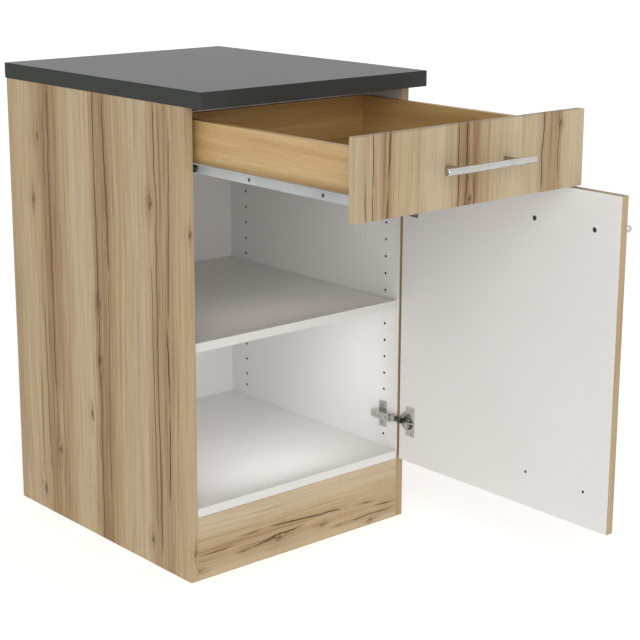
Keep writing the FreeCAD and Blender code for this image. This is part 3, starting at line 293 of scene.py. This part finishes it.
# The decor of the left panel by the distance from its front edge: tones, cracks and knots. The
# count goes on below zero round the front edge.
LEFT_BANDS = (
    (-0.016, "sand"), (0.026, "sand"), (0.046, "rose"), (0.060, "bark"), (0.076, "rose"),
    (0.092, "rose"), (0.110, "sand"), (0.122, "reed"), (0.154, "reed"), (0.166, "sand"),
    (0.204, "sand"), (0.218, "rose"), (0.236, "bark"), (0.264, "bark"), (0.282, "sand"),
    (0.300, "reed"), (0.336, "reed"), (0.352, "sand"), (0.374, "rose"), (0.392, "bark"),
    (0.430, "bark"), (0.448, "rose"), (0.470, "sand"), (0.535, "sand"), (0.550, "rose"),
)
LEFT_CRACKS = (
    ((0.411, 0.83), (0.414, 0.24), 0.0019), ((0.264, 0.83), (0.262, -0.02), 0.0016),
    ((0.236, 0.83), (0.230, 0.50), 0.0021), ((0.230, 0.50), (0.238, 0.10), 0.0010),
    ((0.056, 0.45), (0.050, 0.28), 0.0024), ((0.050, 0.30), (0.058, 0.12), 0.0023),
    ((0.046, 0.80), (0.052, 0.44), 0.0012), ((0.088, 0.83), (0.082, 0.02), 0.0014),
    ((0.100, 0.55), (0.094, 0.05), 0.0012), ((0.444, 0.42), (0.440, 0.08), 0.0012),
    ((0.428, 0.78), (0.426, 0.62), 0.0014), ((0.466, 0.30), (0.464, 0.06), 0.0010),
)
LEFT_KNOTS = (
    (0.472, 0.606, 0.0056), (0.101, 0.651, 0.0068), (0.262, 0.444, 0.0056), (0.262, 0.339, 0.0049),
    (0.293, 0.231, 0.0059), (0.405, 0.135, 0.0059), (0.464, 0.044, 0.0072), (0.111, 0.047, 0.0051),
    (0.450, 0.724, 0.0043), (-0.0075, 0.610, 0.0043), (-0.010, 0.052, 0.0043),
)
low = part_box("side_panel_left")[0]
edge = low[1] - low[0]
LEFT_OAK = oak("Oak left panel", UP, (-1, 1, 0), edge, LEFT_BANDS, LEFT_CRACKS, LEFT_KNOTS, 1.7)
clad("side_panel_left", {"rest": CHIPS, "-X": LEFT_OAK, "-Y": LEFT_OAK, "+X": WHITE})

# The right panel's decor isn't in view. It has the same timber with cracks of its own.
RIGHT_BANDS = (
    (-0.016, "rose"), (0.040, "sand"), (0.070, "reed"), (0.120, "reed"), (0.145, "rose"),
    (0.190, "bark"), (0.225, "sand"), (0.300, "reed"), (0.345, "sand"), (0.395, "rose"),
    (0.430, "bark"), (0.465, "bark"), (0.490, "sand"), (0.550, "reed"),
)
RIGHT_CRACKS = (
    ((0.042, 0.83), (0.036, 0.10), 0.0016), ((0.186, 0.83), (0.192, 0.30), 0.0021),
    ((0.210, 0.60), (0.216, -0.02), 0.0014), ((0.330, 0.60), (0.326, -0.02), 0.0014),
    ((0.442, 0.83), (0.436, 0.35), 0.0021), ((0.452, 0.40), (0.456, -0.02), 0.0018),
)
RIGHT_KNOTS = (
    (0.050, 0.300, 0.0059), (0.140, 0.700, 0.0051), (0.198, 0.150, 0.0068), (0.326, 0.520, 0.0059),
    (0.430, 0.280, 0.0053), (0.470, 0.640, 0.0064),
)
low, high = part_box("side_panel_right")
edge = high[0] + low[1]
RIGHT_OAK = oak("Oak right panel", UP, (1, 1, 0), edge, RIGHT_BANDS, RIGHT_CRACKS, RIGHT_KNOTS, 5.3)
clad("side_panel_right", {"rest": CHIPS, "+X": RIGHT_OAK, "-Y": RIGHT_OAK, "-X": WHITE})

# Base panel, rails and back panel.
# White boards between the side panels, edged at the front of the base panel and left open at
# the edges and undersides of the rails, whose brown there is also painted shade under the
# worktop, and a white hardboard in grooves, brown at its rear.


def edging():
    """White plastic edging: a touch greyer than the board, with a fine sanded sheen."""
    look = Finish("White edging")
    cloud = look.noise((9, 9, 9), 2.0)
    sanded = look.noise((30, 1200, 1200), 2.0)
    look.colour(mix(cloud, tone(212, 211, 207), tone(219, 218, 214)))
    look.rough(sanded, 0.40, 0.54)
    look.bump(sanded, 0.00003)
    return look.material


EDGING = edging()
clad("base_panel", {"rest": CHIPS, "+Z": WHITE, "-Z": WHITE, "-Y": EDGING})
# The open brown chipboard on the rails' edges and undersides also stands in for the shade under the worktop's
# front edge.
for rail in ("front_rail", "rear_rail"):
    clad(rail, {"rest": CHIPS, "+Z": WHITE})


def hardboard():
    """The rough side of hardboard: matted brown fibres with a fine mesh print."""
    look = Finish("Hardboard")
    matted = look.noise((160, 160, 160), 5.0)
    speck = look.noise((1300, 1300, 1300), 2.0)
    look.colour(mix(matted.ramp(0.3, 0.7), tone(120, 88, 58), tone(152, 118, 82)))
    look.rough(speck, 0.75, 0.95)
    look.bump(speck, 0.0002)
    return look.material


HARD = hardboard()
clad("back_panel", {"rest": HARD, "-Y": WHITE})

# Plinth.
# An oak decor board with its grain along it, flush with the front edges of the side panels,
# and two white plastic corner blocks screwed on behind it.
PLINTH_BANDS = (
    (-0.010, "pale"), (0.016, "reed"), (0.027, "sand"), (0.036, "rose"), (0.042, "sand"),
    (0.050, "rose"), (0.060, "sand"), (0.076, "reed"), (0.094, "pale"), (0.125, "pale"),
)
PLINTH_CRACKS = (
    ((0.027, -0.160), (0.044, 0.010), 0.0019), ((0.014, -0.236), (0.013, -0.205), 0.0015),
    ((0.058, -0.150), (0.062, -0.080), 0.0012), ((0.062, -0.085), (0.047, 0.130), 0.0018),
    ((0.048, 0.120), (0.046, 0.185), 0.0018), ((0.018, 0.060), (0.022, 0.235), 0.0012),
    ((0.043, -0.234), (0.046, -0.150), 0.0012), ((0.037, 0.170), (0.034, 0.236), 0.0016),
)
PLINTH_KNOTS = (
    (0.032, -0.055, 0.0050), (0.031, 0.049, 0.0039), (0.009, 0.167, 0.0041), (0.018, -0.236, 0.0041),
)
PLINTH_OAK = oak("Oak plinth", ACROSS, (0, 1, 1), 0.0, PLINTH_BANDS, PLINTH_CRACKS, PLINTH_KNOTS, 9.1)
clad("plinth_board", {"rest": CHIPS, "-Y": PLINTH_OAK, "+Y": WHITE})


def plastic(name, low, high):
    """Moulded plastic with a fine spark-eroded grain."""
    look = Finish(name)
    spark = look.noise((900, 900, 900), 2.0)
    cloud = look.noise((30, 30, 30), 2.0)
    look.colour(mix(cloud, low, high))
    look.rough(spark, 0.38, 0.55)
    look.bump(spark, 0.00004)
    return look.material


def wear(node, finish):
    """One finish for a whole node."""
    nodes[node].data.materials.clear()
    nodes[node].data.materials.append(finish)


WHITE_PLASTIC = plastic("White plastic", tone(222, 221, 217), tone(232, 231, 227))
BLACK_PLASTIC = plastic("Black plastic", tone(30, 30, 31), tone(42, 42, 43))
wear("plinth_blocks", WHITE_PLASTIC)

# Carcass joints.
# Fluted beech dowels, zinc die-cast cams with their bolts, and the screws and nails that hold
# rails, blocks and back panel. Each screw is drawn on the line of its CAD screw.


def beech():
    """Turned beech: short brown flecks along the grain."""
    look = Finish("Beech dowel")
    fleck = look.noise((180, 1400, 1400), 1.0)
    cloud = look.noise((120, 120, 120), 2.0)
    turned = mix(cloud, tone(206, 170, 120), tone(220, 188, 142))
    look.colour(mix(fleck.ramp(0.52, 0.70), turned, tone(150, 104, 64)))
    look.rough(fleck, 0.55, 0.75)
    look.bump(fleck, 0.00008)
    return look.material


def metal(name, dull, bright, scales, low, high, height=0.00002):
    """Metal with brushing or casting grain: tones, grain to the metre, roughness and depth."""
    look = Finish(name, metallic=1.0)
    grain = look.noise(scales, 3.0)
    stain = look.noise((55, 55, 55), 3.0)
    look.colour(mix(stain.ramp(0.35, 0.7) * 0.6 + grain * 0.4, dull, bright))
    look.rough(grain * 0.6 + stain * 0.4, low, high)
    look.bump(grain, height)
    return look.material


ZINC = metal("Zinc plated steel", tone(150, 152, 152), tone(205, 206, 202), (320, 320, 320), 0.28, 0.45)
CAST = metal("Zinc die cast", tone(118, 120, 122), tone(160, 161, 162), (900, 900, 900), 0.42, 0.60, 0.00006)
wear("cam_discs", CAST)
wear("cam_bolts", ZINC)


def read_rods(node):
    """The separate screws, nails or pins of a node: head end, direction out of the head, length,
    and the radius at the head and at the other end."""
    mesh = nodes[node].data
    spots = np.zeros(len(mesh.vertices) * 3)
    mesh.vertices.foreach_get("co", spots)
    spots = spots.reshape(-1, 3)
    keys, owner = np.unique(np.round(spots * 1e6).astype(np.int64), axis=0, return_inverse=True)
    owner = owner.reshape(-1)
    group = np.arange(len(keys))
    edges = np.array([owner[list(edge.vertices)] for edge in mesh.edges])
    while True:
        low = np.minimum(group[edges[:, 0]], group[edges[:, 1]])
        before = group.copy()
        np.minimum.at(group, edges[:, 0], low)
        np.minimum.at(group, edges[:, 1], low)
        if (group == before).all():
            break
    found = []
    for label in np.unique(group):
        cloud = keys[group == label] / 1e6
        low, high = cloud.min(0), cloud.max(0)
        axis = int(np.argmax(high - low))
        middle = (low + high) / 2
        off = cloud - middle
        off[:, axis] = 0
        wide = np.linalg.norm(off, axis=1)
        slice_at = (high[axis] - low[axis]) * 0.02
        at_low = wide[cloud[:, axis] < low[axis] + slice_at].max()
        at_high = wide[cloud[:, axis] > high[axis] - slice_at].max()
        out = np.zeros(3)
        out[axis] = 1 if at_high >= at_low else -1
        head = middle.copy()
        head[axis] = high[axis] if at_high >= at_low else low[axis]
        found.append((head, out, high[axis] - low[axis], max(at_low, at_high), min(at_low, at_high)))
    return found


class Shape:
    """A Geometry Nodes tree with named sizes as its inputs."""

    def __init__(self, name, sizes):
        self.tree = bpy.data.node_groups.new(name, "GeometryNodeTree")
        face = self.tree.interface
        face.new_socket("Geometry", in_out="OUTPUT", socket_type="NodeSocketGeometry")
        face.new_socket("Points", in_out="INPUT", socket_type="NodeSocketGeometry")
        self.sockets = {}
        for label, kind in sizes.items():
            self.sockets[label] = face.new_socket(label, in_out="INPUT", socket_type=kind).identifier
        self.entry = self.tree.nodes.new("NodeGroupInput")

    def size(self, label):
        return Wire(self.tree, self.entry.outputs[label])

    def make(self, kind, settings=(), **values):
        """A node whose inputs are named, with underscores for spaces."""
        made = self.tree.nodes.new(kind)
        for setting, value in dict(settings).items():
            setattr(made, setting, value)
        for label, value in values.items():
            put(self.tree, made.inputs[label.replace("_", " ")], value)
        return Wire(self.tree, made.outputs[0])

    def join(self, *parts):
        made = self.tree.nodes.new("GeometryNodeJoinGeometry")
        for part in reversed(parts):
            self.tree.links.new(part.socket, made.inputs[0])
        return Wire(self.tree, made.outputs[0])

    def spread(self, thing, material):
        """Ends the tree with the thing on each point, turned to the point's direction."""
        named = {"data_type": "FLOAT_VECTOR"}
        direction = self.make("GeometryNodeInputNamedAttribute", named, Name="direction")
        turn = self.make("FunctionNodeAlignRotationToVector", {"axis": "Z"}, Vector=direction)
        points = self.size("Points")
        done = self.make("GeometryNodeInstanceOnPoints", Points=points, Instance=thing, Rotation=turn)
        done = self.make("GeometryNodeRealizeInstances", Geometry=done)
        done = self.make("GeometryNodeSetMaterial", Geometry=done, Material=material)
        exit_node = self.tree.nodes.new("NodeGroupOutput")
        self.tree.links.new(done.socket, exit_node.inputs[0])


def screw_shape():
    """A screw on each point, out along the point's direction: a domed head with a cross recess,
    and a threaded shank whose ridges are rings on a line."""
    shape = Shape("Screw", {
        "Head radius": "NodeSocketFloat", "Head height": "NodeSocketFloat", "Shank radius": "NodeSocketFloat",
        "Shank length": "NodeSocketFloat", "Recess": "NodeSocketFloat", "Ridges": "NodeSocketInt",
        "Finish": "NodeSocketMaterial",
    })
    size = shape.size

    def lifted(thing, height):
        spot = shape.make("ShaderNodeCombineXYZ", Z=height)
        return shape.make("GeometryNodeTransform", Geometry=thing, Translation=spot)

    # The head: a rim under a dome, and two crossed blocks taken out of the dome.
    radius, height, recess = size("Head radius"), size("Head height"), size("Recess")
    dome_share, arm_share = 0.65, 0.26
    rim = shape.make(
        "GeometryNodeMeshCone", Vertices=32, Radius_Top=radius, Radius_Bottom=radius * 0.94,
        Depth=height * 0.35,
    )
    dome = shape.make(
        "GeometryNodeMeshCone", Vertices=32, Radius_Top=radius * 0.72, Radius_Bottom=radius,
        Depth=height * dome_share,
    )
    bored = shape.tree.nodes.new("GeometryNodeMeshBoolean")
    bored.operation = "DIFFERENCE"
    shape.tree.links.new(lifted(dome, height * -dome_share).socket, bored.inputs[0])
    for wide, deep in ((1.0, arm_share), (arm_share, 1.0)):
        block = shape.make("ShaderNodeCombineXYZ", X=recess * wide, Y=recess * deep, Z=height)
        arm = lifted(shape.make("GeometryNodeMeshCube", Size=block), height * -0.05)
        shape.tree.links.new(arm.socket, bored.inputs[1])
    head = shape.join(Wire(shape.tree, bored.outputs[0]), lifted(rim, height * -1.0))

    # The shank: a core, and ridges that rise to the full radius and fall again.
    crest, length = size("Shank radius"), size("Shank length")
    core = shape.make("GeometryNodeMeshCylinder", Vertices=16, Radius=crest * 0.72, Depth=length)
    core = lifted(core, length * -0.5 - height)
    pitch = length / (size("Ridges") + 1.0)
    flank, foot = pitch * 0.42, crest * 0.72
    rise = shape.make("GeometryNodeMeshCone", Vertices=16, Radius_Top=crest, Radius_Bottom=foot, Depth=flank)
    fall = shape.make("GeometryNodeMeshCone", Vertices=16, Radius_Top=foot, Radius_Bottom=crest, Depth=flank)
    ridge = shape.join(rise, lifted(fall, flank))
    step = shape.make("ShaderNodeCombineXYZ", Z=pitch * -1.0)
    start = shape.make("ShaderNodeCombineXYZ", Z=height * -1.0 - pitch)
    line = shape.make("GeometryNodeMeshLine", Count=size("Ridges"), Start_Location=start, Offset=step)
    thread = shape.make("GeometryNodeInstanceOnPoints", Points=line, Instance=ridge)
    shape.spread(shape.join(head, core, thread), size("Finish"))
    return shape


SCREW = screw_shape()


def set_out(name, data):
    """An object of this data, in the scene, at the origin."""
    made = bpy.data.objects.new(name, data)
    bpy.context.scene.collection.objects.link(made)
    return made


def grow(name, shape, rods, values):
    """Runs a tree on the head ends of the rods, and keeps what it makes as a plain mesh."""
    mesh = bpy.data.meshes.new(name)
    mesh.from_pydata([tuple(rod[0]) for rod in rods], [], [])
    direction = mesh.attributes.new("direction", "FLOAT_VECTOR", "POINT")
    direction.data.foreach_set("vector", np.array([rod[1] for rod in rods]).reshape(-1))
    seed = set_out(name + "_points", mesh)
    modifier = seed.modifiers.new("Grow", "NODES")
    modifier.node_group = shape.tree
    for label, value in values.items():
        modifier[shape.sockets[label]] = value
    graph = bpy.context.evaluated_depsgraph_get()
    grown = bpy.data.meshes.new_from_object(seed.evaluated_get(graph), depsgraph=graph)
    bpy.data.objects.remove(seed)
    return set_out(name, grown)


THREAD_PITCH = 0.0014


def screws(node, body, finish, head, recess):
    """Replaces a node's screws by drawn ones, in one piece for each length of screw. The head's
    height and the width of its recess are given, and the rest is read from the screws."""
    name = node + "_drawn"
    rods = read_rods(node)
    kinds = sorted({round(rod[2], 4) for rod in rods})
    for number, length in enumerate(kinds):
        alike = [rod for rod in rods if round(rod[2], 4) == length]
        piece = grow(f"{name}_{number}" if len(kinds) > 1 else name, SCREW, alike, {
            "Head radius": float(alike[0][3]), "Head height": head, "Shank radius": float(alike[0][4]),
            "Shank length": float(length - head), "Recess": recess,
            "Ridges": max(2, int((length - head) / THREAD_PITCH)), "Finish": finish,
        })
        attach(piece, body)
        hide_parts(node)


screws("carcass_screws", "cabinet", ZINC, head=0.002, recess=0.0042)


def dowel_shape():
    """A fluted dowel on each point, running back from the point: the radius follows a wave."""
    shape = Shape("Dowel", {
        "Radius": "NodeSocketFloat", "Length": "NodeSocketFloat", "Flutes": "NodeSocketFloat",
        "Finish": "NodeSocketMaterial",
    })
    size = shape.size
    radius, length = size("Radius"), size("Length")
    tube = shape.make("GeometryNodeMeshCylinder", Vertices=72, Side_Segments=6, Radius=radius, Depth=length)
    place = shape.make("GeometryNodeInputPosition")
    split = shape.tree.nodes.new("ShaderNodeSeparateXYZ")
    shape.tree.links.new(place.socket, split.inputs[0])
    x, y, z = (Wire(shape.tree, socket) for socket in split.outputs)
    wave = (y.math("ARCTAN2", x) * size("Flutes")).math("SINE") * 0.04 + 0.96
    ends = (abs(z) / length).ramp(0.5, 0.42) * 0.12 + 0.88
    shrink = wave * ends
    slim = shape.make("ShaderNodeCombineXYZ", X=x * shrink, Y=y * shrink, Z=z - length * 0.5)
    tube = shape.make("GeometryNodeSetPosition", Geometry=tube, Position=slim)
    shape.spread(tube, size("Finish"))
    return shape


DOWEL = dowel_shape()
BEECH = beech()


def dowels(node, body):
    rods = read_rods(node)
    piece = grow(node + "_fluted", DOWEL, rods, {
        "Radius": float(rods[0][3]), "Length": float(rods[0][2]), "Flutes": 14.0, "Finish": BEECH,
    })
    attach(piece, body)
    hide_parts(node)


dowels("dowels", "cabinet")
wear("back_nails", ZINC)

# Worktop.
# Chipboard under dark grey laminate, with square edges in a duller edging of the same grey,
# screwed on from below through the rails. Its underside has a dark backing sheet.


def laminate(name, low, high, rough, gloss):
    """Fine stone-like laminate: specks in two sizes over a slow cloud, with a pearl texture."""
    look = Finish(name)
    speck = look.noise((1900, 1900, 1900), 2.0)
    mottle = look.noise((420, 420, 420), 4.0)
    cloud = look.noise((7, 7, 7), 3.0)
    shade = mix(mottle.ramp(0.3, 0.7), low, high)
    shade = mix(speck.ramp(0.60, 0.75) * 0.25, shade, tone(96, 98, 97))
    shade = mix(cloud.ramp(0.35, 0.75) * 0.15, shade, tone(40, 42, 41))
    look.colour(shade)
    look.shader.inputs["Specular IOR Level"].default_value = gloss
    look.rough(speck * 0.5 + mottle * 0.5, rough, rough + 0.14)
    look.bump(speck, 0.00006)
    return look.material


TOP_GREY = laminate("Worktop laminate", tone(72, 74, 73), tone(84, 86, 85), 0.40, 0.5)
EDGE_GREY = laminate("Worktop edging", tone(65, 67, 65), tone(76, 78, 76), 0.40, 0.0)
BACKING = plastic("Worktop backing", tone(66, 62, 56), tone(76, 72, 66))
clad("worktop", {"rest": EDGE_GREY, "+Z": TOP_GREY, "-Z": BACKING})

# Shelf and its pins.
# A loose white board, edged all round, on four plated steel pins in the system holes.
clad("shelf", {"rest": EDGING, "+Z": WHITE, "-Z": WHITE})
wear("shelf_pins", ZINC)

# Runners.
# Grey enamelled steel channels on the side panels and angles under the drawer sides, with black
# plastic rollers on riveted steel axles and a plastic stop block in each channel.


def enamel():
    """Baked enamel on sheet steel: a soft orange peel and a slow drift in its grey."""
    look = Finish("Grey enamel", coat_weight=0.3, coat_roughness=0.25)
    peel = look.noise((420, 420, 420), 2.0)
    cloud = look.noise((16, 16, 16), 3.0)
    look.colour(mix(cloud.ramp(0.3, 0.7), tone(164, 167, 167), tone(180, 183, 182)))
    look.rough(peel, 0.26, 0.4)
    look.bump(peel, 0.00005)
    return look.material


ENAMEL = enamel()
for word in ("left", "right"):
    wear("cabinet_runner_" + word, ENAMEL)
    wear("drawer_runner_" + word, ENAMEL)
    wear("front_roller_" + word, BLACK_PLASTIC)
    wear("rear_roller_" + word, BLACK_PLASTIC)
wear("front_roller_axles", ZINC)
wear("rear_roller_axles", ZINC)
wear("runner_stops", BLACK_PLASTIC)
screws("runner_screws", "cabinet", ZINC, head=0.0015, recess=0.0040)
# Zinc screws painted dark, as the shade in their recesses.
SHADED_ZINC = metal("Zinc screws in painted shade", tone(72, 71, 70), tone(112, 111, 108), (320, 320, 320), 0.30, 0.45)
screws("drawer_runner_screws", "drawer", SHADED_ZINC, head=0.0008, recess=0.0034)

# Drawer front.
# Oak decor board with white melamine on its back and oak edging all round. Its grain runs
# upright like the door's below it.
DRAWER_BANDS = (
    (0.000, "reed"), (0.030, "reed"), (0.040, "sand"), (0.058, "rose"), (0.068, "bark"), (0.078, "sand"),
    (0.100, "reed"), (0.116, "reed"), (0.130, "sand"), (0.146, "pale"), (0.174, "pale"), (0.190, "reed"),
    (0.202, "sand"), (0.214, "rose"), (0.228, "bark"), (0.246, "bark"), (0.258, "rose"), (0.276, "sand"),
    (0.294, "reed"), (0.318, "reed"), (0.328, "pale"), (0.352, "pale"), (0.364, "reed"), (0.396, "pale"),
    (0.401, "sand"), (0.412, "rose"), (0.438, "rose"), (0.446, "reed"), (0.460, "pale"), (0.500, "pale"),
)
DRAWER_CRACKS = (
    ((0.033, 0.66), (0.034, 0.84), 0.0012), ((0.062, 0.66), (0.068, 0.84), 0.0019),
    ((0.211, 0.66), (0.209, 0.84), 0.0015), ((0.229, 0.66), (0.226, 0.84), 0.0018),
    ((0.3985, 0.68), (0.3995, 0.84), 0.0015), ((0.435, 0.70), (0.438, 0.84), 0.0010),
    ((0.020, 0.66), (0.018, 0.76), 0.0009), ((0.242, 0.66), (0.244, 0.75), 0.0012),
)
DRAWER_KNOTS = ((0.234, 0.700, 0.0036), (0.439, 0.800, 0.0032))
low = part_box("drawer_front")[0]
edge = low[0] - low[1]
DRAWER_OAK = oak("Oak drawer front", UP, (1, -1, 0), edge, DRAWER_BANDS, DRAWER_CRACKS, DRAWER_KNOTS, 13.9)
clad("drawer_front", {"rest": DRAWER_OAK, "+Y": WHITE})

# Handles.
# Brushed stainless steel bars on two round posts, each held by a screw from the back of its
# front. The brushing runs round the bar in fine rings.
STAINLESS = (tone(184, 182, 178), tone(204, 202, 198))
BAR = metal("Brushed stainless bar", *STAINLESS, (1400, 50, 50), 0.20, 0.30, 0.000004)
DOOR_BAR = metal("Brushed stainless door bar", *STAINLESS, (50, 1400, 50), 0.20, 0.30, 0.000004)
POST_STEEL = (tone(164, 158, 150), tone(190, 185, 178))
POST = metal("Stainless post", *POST_STEEL, (500, 500, 500), 0.26, 0.38, 0.000008)
wear("drawer_handle_bar", BAR)
wear("drawer_handle_posts", POST)
wear("door_handle_bar", DOOR_BAR)
wear("door_handle_posts", POST)
screws("drawer_handle_screws", "drawer", ZINC, head=0.002, recess=0.0044)
# The door handle's screws are painted dark as the shade of their recesses.
screws("door_handle_screws", "door", SHADED_ZINC, head=0.002, recess=0.0044)

# Drawer box.
# Sides and back of chipboard wrapped in beech print foil, with a printed hardboard bottom in
# their grooves. Open chipboard shows at the rear ends of the sides.


def foil(name, grain, across, seed):
    """Beech print: close straight grain with darker growth bands and short flecks."""
    look = Finish(name)
    wide, long = look.along(across), look.along(grain)
    sway = look.noise((9, 2, 1), 2.0, look.point(wide, long, seed)) - 0.5
    ground = look.point(wide + sway * 0.012, long, seed)
    growth = look.noise((70, 2.5, 1), 3.0, ground)
    fine = look.noise((520, 10, 1), 2.0, ground)
    fleck = look.noise((900, 130, 1), 1.0, ground)
    shade = mix(growth.ramp(0.32, 0.70), tone(204, 172, 118), tone(182, 146, 92))
    shade = mix(fine.ramp(0.45, 0.72) * 0.4, shade, tone(166, 128, 78))
    shade = mix(fleck.ramp(0.62, 0.74) * 0.45, shade, tone(136, 98, 58))
    look.colour(shade)
    look.rough(fine, 0.36, 0.50)
    look.bump(fine + fleck * -0.5, 0.00004)
    return look.material


SIDE_FOIL = foil("Beech foil sides", DEEP, (1, 0, 1), 2.2)
BACK_FOIL = foil("Beech foil back", ACROSS, (0, 1, 1), 4.4)
FLOOR_FOIL = foil("Beech foil bottom", DEEP, (1, 0, 0), 6.6)
for word in ("left", "right"):
    clad("drawer_side_" + word, {"rest": SIDE_FOIL, "+Y": CHIPS})
clad("drawer_back", {"rest": BACK_FOIL, "+X": CHIPS, "-X": CHIPS})
clad("drawer_bottom", {"rest": HARD, "+Z": FLOOR_FOIL})
wear("drawer_cam_discs", CAST)
wear("drawer_cam_bolts", ZINC)
dowels("drawer_dowels", "drawer")
wear("drawer_screws", ZINC)

# Door.
# Oak decor outside, white melamine inside and oak edging all round, with the recesses of its
# handle screws and two spare pilot holes. It is open square, so its grain counts Y + X.
DOOR_BANDS = (
    (-0.022, "sand"), (0.033, "reed"), (0.088, "bark"), (0.128, "rose"), (0.188, "sand"),
    (0.248, "reed"), (0.308, "sand"), (0.353, "bark"), (0.398, "rose"), (0.448, "reed"), (0.498, "sand"),
)
DOOR_CRACKS = (
    ((0.083, 0.10), (0.078, 0.70), 0.0016), ((0.208, 0.10), (0.214, 0.45), 0.0012),
    ((0.318, 0.30), (0.312, 0.70), 0.0015), ((0.356, 0.10), (0.360, 0.70), 0.0018),
    ((0.453, 0.10), (0.448, 0.55), 0.0010),
)
DOOR_KNOTS = (
    (0.063, 0.340, 0.0055), (0.168, 0.580, 0.0045), (0.278, 0.220, 0.0060), (0.358, 0.480, 0.0050),
    (0.438, 0.300, 0.0045),
)
low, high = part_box("door_panel")
edge = high[0] + low[1]
DOOR_OAK = oak("Oak door", UP, (1, 1, 0), edge, DOOR_BANDS, DOOR_CRACKS, DOOR_KNOTS, 17.3)
clad("door_panel", {"rest": DOOR_OAK, "-X": WHITE})

# Hinges.
# Two concealed hinges: nickelled steel arms on cross-shaped mounting plates, each with a
# cranked link into a pressed cup that is let into the door and screwed to it.
# The link is the same nickelled steel in darker tones: painted shade and painted reflection of dark
# surroundings.
BRIGHT, SHADED_LINK_TONES = (tone(190, 189, 185), tone(222, 221, 217)), (tone(74, 72, 69), tone(112, 110, 106))
NICKEL = metal("Nickelled steel", *BRIGHT, (260, 260, 260), 0.16, 0.28, 0.00001)
SHADED_NICKEL = metal("Nickelled link in painted shade", *SHADED_LINK_TONES, (300, 300, 300), 0.26, 0.40, 0.00001)
for word in ("upper", "lower"):
    wear(word + "_hinge_plate", NICKEL)
    wear(word + "_hinge_arm", NICKEL)
    wear(word + "_hinge_cup", NICKEL)
    wear(word + "_hinge_link", SHADED_NICKEL)
wear("hinge_arm_pins", ZINC)
wear("hinge_cup_pins", ZINC)
screws("hinge_plate_screws", "cabinet", ZINC, head=0.0015, recess=0.0040)
screws("hinge_adjusters", "cabinet", ZINC, head=0.0012, recess=0.0038)
screws("hinge_cup_screws", "door", ZINC, head=0.0012, recess=0.0038)

# Floor, light and camera.
# A plain pale floor, a white sky, one broad light and two weak fills. The camera stands where
# the photograph was taken from, to the left of the cabinet's front.
ground = bpy.data.meshes.new("floor")
reach = 60
corners = [(-reach, -reach, 0), (reach, -reach, 0), (reach, reach, 0), (-reach, reach, 0)]
ground.from_pydata(corners, [], [(0, 1, 2, 3)])
floor = set_out("floor", ground)
paper = Finish("Studio floor")
paper.colour(mix(paper.noise((3, 3, 3), 2.0), tone(250, 250, 250), tone(252, 252, 252)))
paper.rough(paper.noise((40, 40, 40), 2.0), 0.8, 0.95)
paper.shader.inputs["Emission Color"].default_value = (1, 1, 1, 1)
paper.shader.inputs["Emission Strength"].default_value = 0.5
ground.materials.append(paper.material)

# The sky is white to look at, and its light on the surfaces is softer than that.
SKY_SEEN, SKY_ON_SURFACES = 1.0, 0.45
world = bpy.data.worlds.new("Sky")
world.use_nodes = True
sky = world.node_tree.nodes["Background"]
sky.inputs["Color"].default_value = (1, 1, 1, 1)
on_surface = add(world.node_tree, "ShaderNodeLightPath", output=2)
put(world.node_tree, sky.inputs["Strength"], on_surface * (SKY_ON_SURFACES - SKY_SEEN) + SKY_SEEN)
bpy.context.scene.world = world
bpy.context.scene.view_settings.view_transform = "Standard"

# One broad light from the front left, about 21 degrees above the floor.
lamp = bpy.data.lights.new("key_light", "SUN")
lamp.energy = 1.2
lamp.angle = math.radians(50)
light = set_out("key_light", lamp)
light.rotation_euler = Vector((-0.60, -0.80, 0.38)).to_track_quat("Z", "Y").to_euler()

# Two weak fills at the opening, turned inwards, lift the shade in the compartments.
shelf_low, shelf_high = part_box("shelf")
for word, floor_board, roof_board, power in (
    ("lower", "base_panel", "shelf", 0.32), ("upper", "shelf", "drawer_bottom", 0.14),
):
    foot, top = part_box(floor_board)[1][2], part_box(roof_board)[0][2]
    lamp = bpy.data.lights.new(word + "_fill", "AREA")
    lamp.shape = "RECTANGLE"
    lamp.size = (shelf_high[0] - shelf_low[0]) * 0.55
    lamp.size_y = (top - foot) * 0.4
    lamp.energy = power
    light = set_out(word + "_fill", lamp)
    light.location = (0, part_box("base_panel")[0][1], (foot + top) / 2)
    light.rotation_euler = Vector((0, -1, 0)).to_track_quat("Z", "Y").to_euler()
    light.visible_camera = False

SENSOR = 36.0
FOCAL_PIXELS = 1638.0
PICTURE = 640
lens = bpy.data.cameras.new("camera")
lens.sensor_width = SENSOR
lens.lens = FOCAL_PIXELS / PICTURE * SENSOR
lens.shift_x = 0.045
lens.shift_y = -0.045
lens.clip_end = 200
camera = set_out("camera", lens)
camera.location = (-1.8054, -2.1054, 1.1614)
camera.rotation_euler = (math.pi / 2 - 0.2417, 0, -0.7017)
bpy.context.scene.camera = camera
